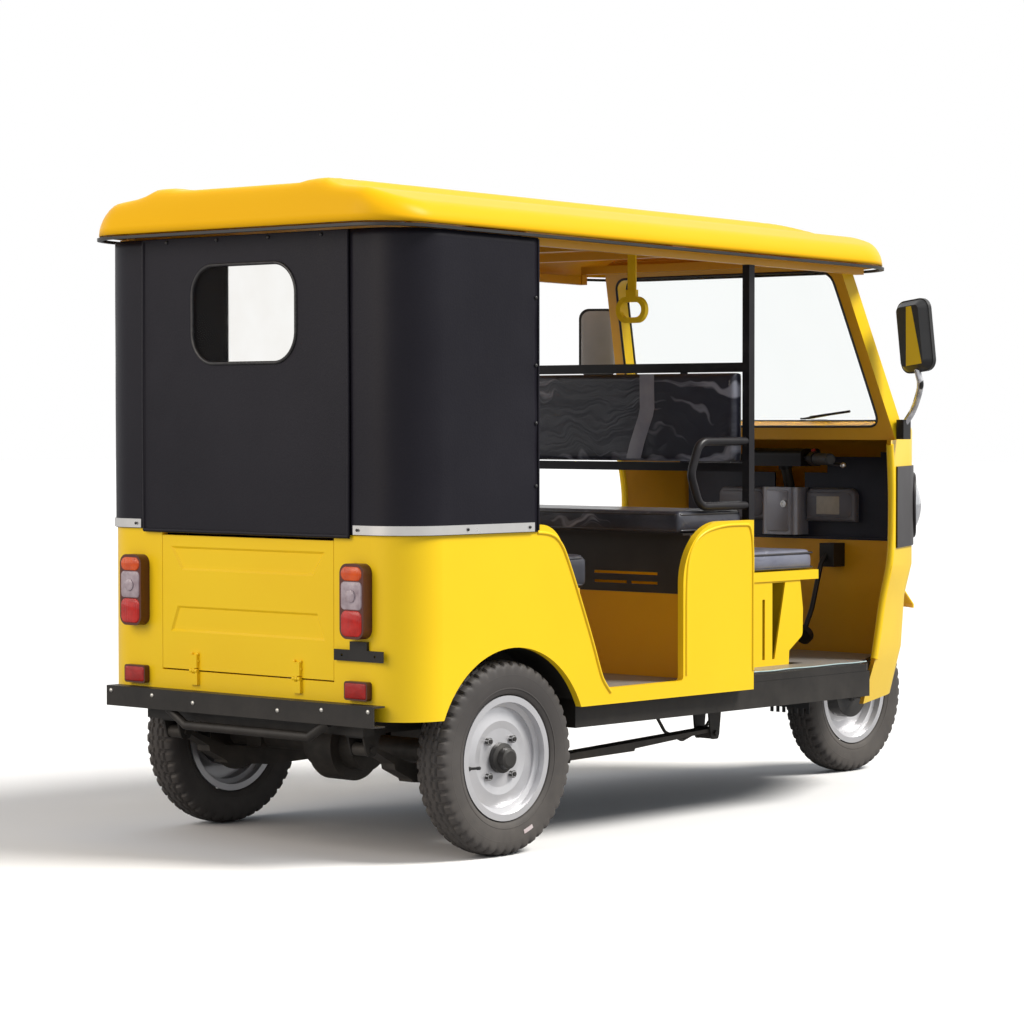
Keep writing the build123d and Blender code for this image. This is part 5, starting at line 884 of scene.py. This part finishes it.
bm = bmesh.new()
inner = window_outline(0.0)
outer = [edge_point(y, z) for y, z in inner]
for corner_y in (-FLAP_HALF, FLAP_HALF):
    for corner_z in FLAP_Z:
        nearest = min(range(WINDOW_STEPS), key=lambda k: (outer[k][0] - corner_y) ** 2
                      + (outer[k][1] - corner_z) ** 2)
        outer[nearest] = (corner_y, corner_z)
rings = []
for step in range(FLAP_RINGS + 1):
    share = (step / FLAP_RINGS) ** 1.1
    ring = []
    for (y0, z0), (y1, z1) in zip(inner, outer):
        y, z = y0 + (y1 - y0) * share, z0 + (z1 - z0) * share
        free = min(1.0, 6 * share) * min(1.0, 6 * (1 - share) + 0.15)
        out = 0.0011 * noise.noise(Vector((y * 5.5, z * 2.5, 0.3)))
        out += 0.0009 * noise.noise(Vector((y * 16, z * 9, 5.1)))
        edge_pull = math.exp(-((abs(y) - 0.39) / 0.04) ** 2)
        out += 0.0010 * math.sin(11 * z + 3 * noise.noise(Vector((y * 3, z * 3, 2)))) * edge_pull
        ring.append(bm.verts.new((FLAP_X + out * free, y, z)))
    rings.append(ring)
skin(bm, rings)
bmesh.ops.remove_doubles(bm, verts=bm.verts, dist=0.00005)
flap = piece("rear_flap_cloth", bm, canvas_black, smooth=60)
thicken(flap, 0.0018, offset=0)
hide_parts("rear_flap")
window_hole = (WINDOW_Y[1] - WINDOW_Y[0]) * (WINDOW_Z[1] - WINDOW_Z[0])
window_hole -= (4 - math.pi) * WINDOW_CORNER ** 2
strand("window_binding", [(FLAP_X - 0.0012, y, z) for y, z in window_outline(0.005, 64)], 0.0048,
       rivet_black, closed=True)
for side, hand in SIDES:
    strand("flap_piping_" + hand, [
        (FLAP_X - 0.0015, side * (0.397 + 0.0012 * math.sin(13 * k)),
         FLAP_Z[0] + 0.006 + (FLAP_Z[1] - FLAP_Z[0] - 0.012) * k / 10) for k in range(11)],
        0.0042, canvas_black)
strand("flap_foot_batten", [
    (FLAP_X - 0.001, -0.398 + 0.796 * k / 12, 0.8545 + 0.0006 * math.sin(2.2 * k))
    for k in range(13)], 0.0052, canvas_black)


def clear_material(name, ior, scale, detail, tints, haze):
    """See-through material whose tint and haze drift softly; returns it with its drift."""
    material, tree, shader = new_material(name)
    drift = noise_in(tree, place_in(tree), Scale=scale, Detail=detail)
    feed(tree, shader, {
        "Transmission Weight": 1.0, "IOR": ior, "Base Color": mixed(tree, drift, *tints),
        "Roughness": mapped(tree, drift, {"To Min": haze[0], "To Max": haze[1]})})
    return material, drift


# Clear vinyl film, a little wavy, behind the flap's window.
FILM_X = -1.4413
FILM_LAP = 0.009
clear_film, waves = clear_material("clear_film", 1.08, 9, 2, (
    (0.97, 0.97, 0.96, 1), (0.88, 0.86, 0.82, 1)), (0.02, 0.10))
film_tree = clear_film.node_tree
add_relief(film_tree, film_tree.nodes["Principled BSDF"], waves, 0.15, 0.004)
bm = bmesh.new()
rings = []
for step in range(1, 25):
    share = step / 24
    rings.append([
        bm.verts.new((FILM_X + 0.0008 * noise.noise(Vector((y * 8, z * 8, 1))) * (1 - share ** 4),
                      WINDOW_MID[0] + (y - WINDOW_MID[0]) * share,
                      WINDOW_MID[1] + (z - WINDOW_MID[1]) * share))
        for y, z in window_outline(FILM_LAP)])
middle = bm.verts.new((FILM_X, *WINDOW_MID))
for k in range(WINDOW_STEPS):
    m = (k + 1) % WINDOW_STEPS
    if (rings[0][k].co - rings[0][m].co).length > 1e-6:
        bm.faces.new((middle, rings[0][k], rings[0][m]))
    for low_ring, high_ring in zip(rings, rings[1:]):
        bm.faces.new((low_ring[k], low_ring[m], high_ring[m], high_ring[k]))
bmesh.ops.remove_doubles(bm, verts=bm.verts, dist=0.00005)
pane = piece("rear_window_film", bm, clear_film, smooth=60)
thicken(pane, 0.0006)
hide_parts("rear_window_pane")

# Bright aluminium strip covers the canvas foot; small black rivets hold it.
paint(finish("aluminium_strip", (0.72, 0.71, 0.69), (0.58, 0.57, 0.55), 0.3, metallic=0.7,
             patch_scale=20, patch_amount=0.4, grain=380), "canvas_trim")
TRIM_RIVET_Z, TRIM_RIVET_RADIUS = 0.872, 0.0042
bolt_heads("trim_rivets_rear", [(-1.4490, side * 0.430, TRIM_RIVET_Z) for side in (-1, 1)],
           (-1, 0, 0), TRIM_RIVET_RADIUS, rivet_black)
for side, hand in SIDES:
    bolt_heads("trim_rivets_" + hand, [(x, side * 0.6102, TRIM_RIVET_Z) for x in (-1.220, -0.980)],
               (0, side, 0), TRIM_RIVET_RADIUS, rivet_black)

# Black rubber edging is pushed over the roof's lip all round.
black_rubber = finish("edging_rubber", (0.012, 0.012, 0.012), (0.03, 0.03, 0.03), 0.5,
                      patch_scale=12, grain=340, bump=0.2)
paint(black_rubber, "roof_edging")

# ================================================================ windscreen
# The steel frame is part of the cab's front; the glass is bonded to it in a black rubber seal, and
# the wiper is pivoted at its foot.
clear_glass, _ = clear_material("clear_glass", 1.12, 5, 5, (
    (0.965, 0.985, 0.975, 1), (0.93, 0.955, 0.945, 1)), (0.0, 0.03))
paint(clear_glass, "windscreen_glass")
SCREEN_LEAN = math.radians(19.2)
SCREEN_FOOT = Vector((0.790, 0.0, 1.100))


def on_screen(y, up, ahead):
    """Point on the leaning windscreen: sideways, up its slope and ahead of its middle plane."""
    return SCREEN_FOOT + Vector((-math.sin(SCREEN_LEAN), 0, math.cos(SCREEN_LEAN))) * up \
        + Vector((math.cos(SCREEN_LEAN), 0, math.sin(SCREEN_LEAN))) * ahead + Vector((0, y, 0))


def screen_loop(foot_half, top_half, foot_up, top_up, corner, ahead):
    """Rounded loop round the windscreen opening."""
    corners = [(foot_half, foot_up), (top_half, top_up), (-top_half, top_up), (-foot_half, foot_up)]
    points = []
    for k, (y, up) in enumerate(corners):
        before, after = Vector(corners[k - 1]), Vector(corners[(k + 1) % 4])
        here = Vector((y, up))
        start = here + (before - here).normalized() * corner
        stop = here + (after - here).normalized() * corner
        for t in (0, 0.25, 0.5, 0.75, 1):
            spot = start * (1 - t) ** 2 + here * 2 * t * (1 - t) + stop * t ** 2
            points.append(on_screen(spot.x, spot.y, ahead))
    return points


strand("windscreen_seal", screen_loop(0.4995, 0.4300, 0.0405, 0.5460, 0.048, 0.0262), 0.0062,
       black_rubber, closed=True)
strand("windscreen_inner_seal", screen_loop(0.4980, 0.4290, 0.0425, 0.5440, 0.046, -0.0248), 0.0040,
       black_rubber, closed=True)

# ================================================================ nose, headlamps and fender
# One pressed nose wraps round the front, with a dark moulded band and round lamps at its corners.
# Its door edges are rolled over into a rounded strip.
nose_band = finish("nose_band", (0.014, 0.011, 0.012), (0.024, 0.020, 0.020), 0.38, patch_scale=5,
                   grain=300, bump=0.15, specular=0.3)
paint(nose_band, "nose_trim")
lamp_glass = finish("lamp_glass", (0.62, 0.63, 0.66), (0.34, 0.35, 0.38), 0.12, metallic=0.5,
                    patch_scale=24, patch_amount=0.9, bump=0.3, coat=1.0, coat_roughness=0.03)
ribbed(lamp_glass, 34, 0.5)
paint(lamp_glass, "headlamps")
NOSE_X = 0.778  # centre of the nose's round front
LAMP_TURN = math.radians(47)
LAMP_Z, LAMP_OUT = 0.883, 0.4965
BEZEL_RADIUS = 0.0985
NOSE_ROUND = 0.98  # about twice the nose's radius
for side, hand in SIDES:
    axis = Vector((math.cos(LAMP_TURN), side * math.sin(LAMP_TURN), 0))
    across = Vector((-axis.y, axis.x, 0))
    centre = Vector((NOSE_X, 0, LAMP_Z)) + axis * LAMP_OUT
    ring = []
    for k in range(36):
        turn = math.radians(10 * k)
        reach = BEZEL_RADIUS * math.cos(turn)
        ring.append(centre + across * reach - axis * reach ** 2 / NOSE_ROUND
                    + Vector((0, 0, BEZEL_RADIUS * math.sin(turn))))
    strand("headlamp_bezel_" + hand, ring, 0.0065, nose_band, closed=True)
DOOR_EDGE = [(0.730, 1.078), (0.745, 1.000), (0.7545, 0.930), (0.7565, 0.880), (0.7530, 0.800),
             (0.7400, 0.715), (0.7180, 0.610), (0.6900, 0.492), (0.6700, 0.425)]
NOSE_INSETS = [(0.290, 0.068), (0.440, 0.033), (0.600, 0.023), (0.700, 0.0), (1.200, 0.0)]
NOSE_RADIUS = 0.489
WALL_TAPER = 23.5  # degrees


def nose_half_width(x, z):
    """Outer half width of the nose's straight side wall at a place on the door edge."""
    radius = NOSE_RADIUS - level(NOSE_INSETS, z)
    half_arc = math.radians(90 - WALL_TAPER)
    tangent_x, tangent_y = NOSE_X + radius * math.cos(half_arc), radius * math.sin(half_arc)
    return tangent_y + (tangent_x - x) * math.tan(math.radians(WALL_TAPER))


for side, hand in SIDES:
    strand("door_edge_roll_" + hand, [
        (x + 0.006, side * (nose_half_width(x, z) - 0.0085), z) for x, z in DOOR_EDGE],
        0.0115, yellow_paint, resolution=5)

# ================================================================ dash, column cover and controls
# The dash is a dark navy moulding with two grey glove boxes and a silver-grey cover on the steering
# column; the handlebar carries black grips, a red switch and levers.
dash_navy = finish("dash_navy", (0.012, 0.013, 0.023), (0.030, 0.032, 0.050), 0.42, patch_scale=8,
                   grain=420, bump=0.35, specular=0.25)
dash_grey = finish("dash_grey", (0.125, 0.125, 0.148), (0.165, 0.165, 0.190), 0.45, patch_scale=9,
                   grain=520, bump=0.3)
cover_silver = finish("cover_silver", (0.300, 0.300, 0.340), (0.22, 0.22, 0.25), 0.36,
                      metallic=0.25, patch_scale=9, grain=520, bump=0.2, coat=0.3)
blank_plate = finish("blank_plate", (0.47, 0.43, 0.36), (0.36, 0.33, 0.28), 0.45, patch_scale=60,
                     grain=600)
paint(dash_navy, "dash_panel")
paint(dash_grey, "glove_boxes")
paint(cover_silver, "column_cover")
paint(black_rubber, "mudflap")

# Moulded face plates on each glove box and on the column cover; the right box has a bare label.
LID_FORM = (0.8835, 0.088, 0.040, 0.020, 0.0025)  # height, half width, half height, corner, bevel
for name, slab, material, slot, smooth in (
    ("glove_box_lid_right", (0.9248, 0.9218, -0.177, *LID_FORM), dash_grey, "dash_grey", 50),
    ("glove_box_lid_left", (0.9248, 0.9218, 0.177, *LID_FORM), dash_grey, "dash_grey", 50),
    ("glove_box_blank_plate", (0.9220, 0.9209, -0.173, 0.882, 0.045, 0.0285, 0.003, 0.0008),
     blank_plate, "aluminium_trim", 40),
    ("column_cover_face", (0.8868, 0.8846, 0.0, 0.8625, 0.045, 0.066, 0.012, 0.002),
     cover_silver, "dash_grey", 50),
):
    bm = bmesh.new()
    rounded_slab(bm, *slab)
    piece(name, bm, material, smooth=smooth)
LOCK_ROWS = [(0, 0.0125), (0.003, 0.0125), (0.005, 0.0110), (0.0052, 0.0075), (0.0030, 0.0060)]
turned("key_lock", LOCK_ROWS, [(0.8847, -0.027, 0.885)], (-1, 0, 0), nut_steel,
       steps=28)

# Grips and levers on the bar; one switch is red and the levers have bright balls.
grip_rubber = finish("grip_rubber", (0.016, 0.016, 0.016), (0.03, 0.03, 0.03), 0.55,
                     patch_scale=30, grain=500, bump=0.3)
switch_red = finish("switch_red", (0.55, 0.02, 0.012), (0.32, 0.012, 0.01), 0.35, patch_scale=60,
                    grain=400)
GRIP_STEPS = 26
for side, hand in SIDES:
    start, stop = Vector((0.862, side * 0.150, 1.032)), Vector((0.764, side * 0.300, 1.030))
    run = stop - start
    rows = []
    for k in range(GRIP_STEPS):
        collar = 0.002 if k < 2 else 0.0
        rows.append((run.length * (0.36 + 0.64 * k / GRIP_STEPS), 0.0176 + 0.0011 * (k % 2) + collar))
    rows.append((run.length + 0.002, 0.014))
    turned("grip_" + hand, rows, [start], run, grip_rubber, "steering", 28, 50)
turned("stop_switch", [(0, 0.0070), (0.004, 0.0070), (0.006, 0.0050)], [(0.834, -0.182, 1.0555)],
       (-0.25, 0.1, 1), switch_red, "steering")
BALL_ROWS = [(-0.0092, 0.003), (-0.006, 0.0068), (0, 0.0090), (0.006, 0.0068), (0.0092, 0.003)]
turned("lever_balls", BALL_ROWS, [(0.800, side * 0.322, 1.012) for side in (-1, 1)], (-0.3, 1, 0),
       nut_steel, "steering")

# ================================================================ mirrors
# Black moulded shells on plated arms that are still wrapped in film; each holds a flat glass, and
# the right shell's back carries a yellow wedge.
paint(finish("mirror_shell", (0.018, 0.018, 0.019), (0.034, 0.034, 0.035), 0.36, patch_scale=12,
             grain=420, bump=0.12, coat=0.1, specular=0.35), "door_mirrors")
# The flat glass is a dull mid-grey, only partly metal, in place of a clear mirror: painted reflection, with
# some real gloss over it.
mirror_glass = finish("mirror_glass", (0.42, 0.41, 0.41), (0.30, 0.29, 0.29), 0.16, metallic=0.35,
                      patch_scale=6, patch_amount=0.6, grain=30, bump=0.01, spread=0.03)
plated_arm = finish("plated_arm", (0.82, 0.82, 0.84), (0.46, 0.46, 0.49), 0.26, metallic=0.6,
                    patch_scale=40, patch_amount=0.9, grain=90, bump=0.6, depth=0.0015)
MIRROR_ARM = [(0.742, 0.640, 1.312), (0.743, 0.646, 1.288), (0.748, 0.651, 1.262), (0.775, 0.622, 1.224),
              (0.799, 0.591, 1.190), (0.797, 0.578, 1.165), (0.790, 0.562, 1.142)]
HEAD_AT = (0.742, 0.632, 1.408)
GLASS_HALF, GLASS_CORNER = (0.0555, 0.1030), 0.028
GLASS_OUT, WEDGE_OUT = (0.0146, 0.0150), -0.0266
for side, turn, tilt, hand in ((-1, -5.0, -7.0, "right"), (1, 215.0, 0.0, "left")):
    facing = Vector((math.cos(math.radians(turn)), math.sin(math.radians(turn)), 0))
    across = Vector((-facing.y, facing.x, 0))
    centre = Vector((HEAD_AT[0], side * HEAD_AT[1], HEAD_AT[2]))
    lean = math.radians(tilt)

    def on_head(u, v, out, centre=centre, across=across, facing=facing, lean=lean):
        """Point on the mirror head: across, up and out of its glass."""
        return centre + across * (u * math.cos(lean) - v * math.sin(lean)) \
            + Vector((0, 0, u * math.sin(lean) + v * math.cos(lean))) + facing * out

    loop = rounded_loop(0, 0, *GLASS_HALF, GLASS_CORNER, 8)
    bm = bmesh.new()
    outer = [bm.verts.new(on_head(u, v, GLASS_OUT[0])) for u, v in loop]
    inner = [bm.verts.new(on_head(u * 0.93, v * 0.96, GLASS_OUT[1])) for u, v in loop]
    skin(bm, [outer, inner])
    bm.faces.new(inner)
    piece("mirror_glass_" + hand, bm, mirror_glass, smooth=20)
    strand("mirror_arm_" + hand, [(x, side * y, z) for x, y, z in MIRROR_ARM], 0.0102, plated_arm)
    if hand == "right":
        bm = bmesh.new()
        rows = []
        for k in range(7):
            v, wide = -0.0895 + 0.178 * k / 6, 0.031 - 0.021 * k / 6
            rows.append([bm.verts.new(on_head(-0.008 + wide * t, v, WEDGE_OUT))
                         for t in (-1, -0.5, 0, 0.5, 1)])
        skin(bm, rows, closed=False)
        piece("mirror_back_wedge", bm, yellow_paint)

# ================================================================ floor, light and camera
# A pale sweep of floor that turns white away from the vehicle, lit like a bright open shade.
FLOOR_HALF = 60.0
floor_mesh = bmesh.new()
bmesh.ops.create_grid(floor_mesh, x_segments=2, y_segments=2, size=FLOOR_HALF)
floor_data = bpy.data.meshes.new("studio_floor")
floor_mesh.to_mesh(floor_data)
floor_mesh.free()
studio_floor = placed("studio_floor", floor_data)
pale_floor, floor_tree, floor_shader = new_material("pale_floor")
floor_grain = noise_in(floor_tree, place_in(floor_tree), Scale=3)
feed(floor_tree, floor_shader, {
    "Roughness": 0.9, "Specular IOR Level": 0.1,
    "Base Color": mixed(floor_tree, floor_grain, (0.93, 0.93, 0.93, 1), (0.90, 0.90, 0.90, 1))})
floor_dark = added(floor_tree, "BsdfDiffuse", {"Color": (0.34, 0.34, 0.35, 1)})
floor_mix = added(floor_tree, "MixShader", {
    0: added(floor_tree, "LightPath", {}).outputs["Is Camera Ray"],
    1: floor_dark.outputs[0], 2: floor_shader.outputs[0]})
feed(floor_tree, floor_tree.nodes["Material Output"], {"Surface": floor_mix.outputs[0]})
floor_data.materials.append(pale_floor)

# Sky: an even pale dome, seen as plain white by the camera, in gloss and through glass.
world = bpy.data.worlds.new("pale_sky")
bpy.context.scene.world = world
world.use_nodes = True
sky = world.node_tree
sky.nodes.clear()
sky_light = added(sky, "Background", {"Color": (0.86, 0.92, 1.0, 1), "Strength": 0.42})
sky_seen = added(sky, "Background", {"Color": (1, 1, 1, 1), "Strength": 1.0})
rays = added(sky, "LightPath", {}).outputs
seen = maths(sky, "MAXIMUM", rays["Is Camera Ray"], rays["Is Transmission Ray"])
sky_mix = added(sky, "MixShader", {
    0: maths(sky, "MAXIMUM", seen, rays["Is Glossy Ray"]), 1: sky_light.outputs[0],
    2: sky_seen.outputs[0]})
added(sky, "OutputWorld", {"Surface": sky_mix.outputs[0]})


def lit(name, kind, place, toward, **settings):
    """New light at a place, its back turned toward a direction."""
    light = placed(name, setup(bpy.data.lights.new(name, kind), **settings))
    light.location = place
    light.rotation_euler = toward.to_track_quat("Z", "Y").to_euler()


SOFTBOX_AT = Vector((-6.0, 1.5, 3.4))
lit("key_sun", "SUN", (0, 0, 0), Vector((0.55, -0.75, 1.0)), energy=4.2, angle=math.radians(24),
    color=(1.0, 0.97, 0.92))
lit("rear_softbox", "AREA", SOFTBOX_AT, SOFTBOX_AT - Vector((0, 0, 0.9)), energy=170,
    color=(1.0, 0.88, 0.76), size=4.0)

bpy.context.scene.view_settings.view_transform = "Standard"
camera = placed("camera", setup(bpy.data.cameras.new("camera"), lens=113.03, sensor_width=36.0,
                                clip_end=500))
camera.location = (-7.3091, -6.2864, 1.1651)
yaw, pitch, roll = math.radians(42.2146), math.radians(-1.7045), math.radians(-0.0457)
aim = Vector((math.cos(yaw) * math.cos(pitch), math.sin(yaw) * math.cos(pitch), math.sin(pitch)))
camera.rotation_euler = (aim.to_track_quat("-Z", "Y") @ Euler((0, 0, roll)).to_quaternion()).to_euler()
bpy.context.scene.camera = camera
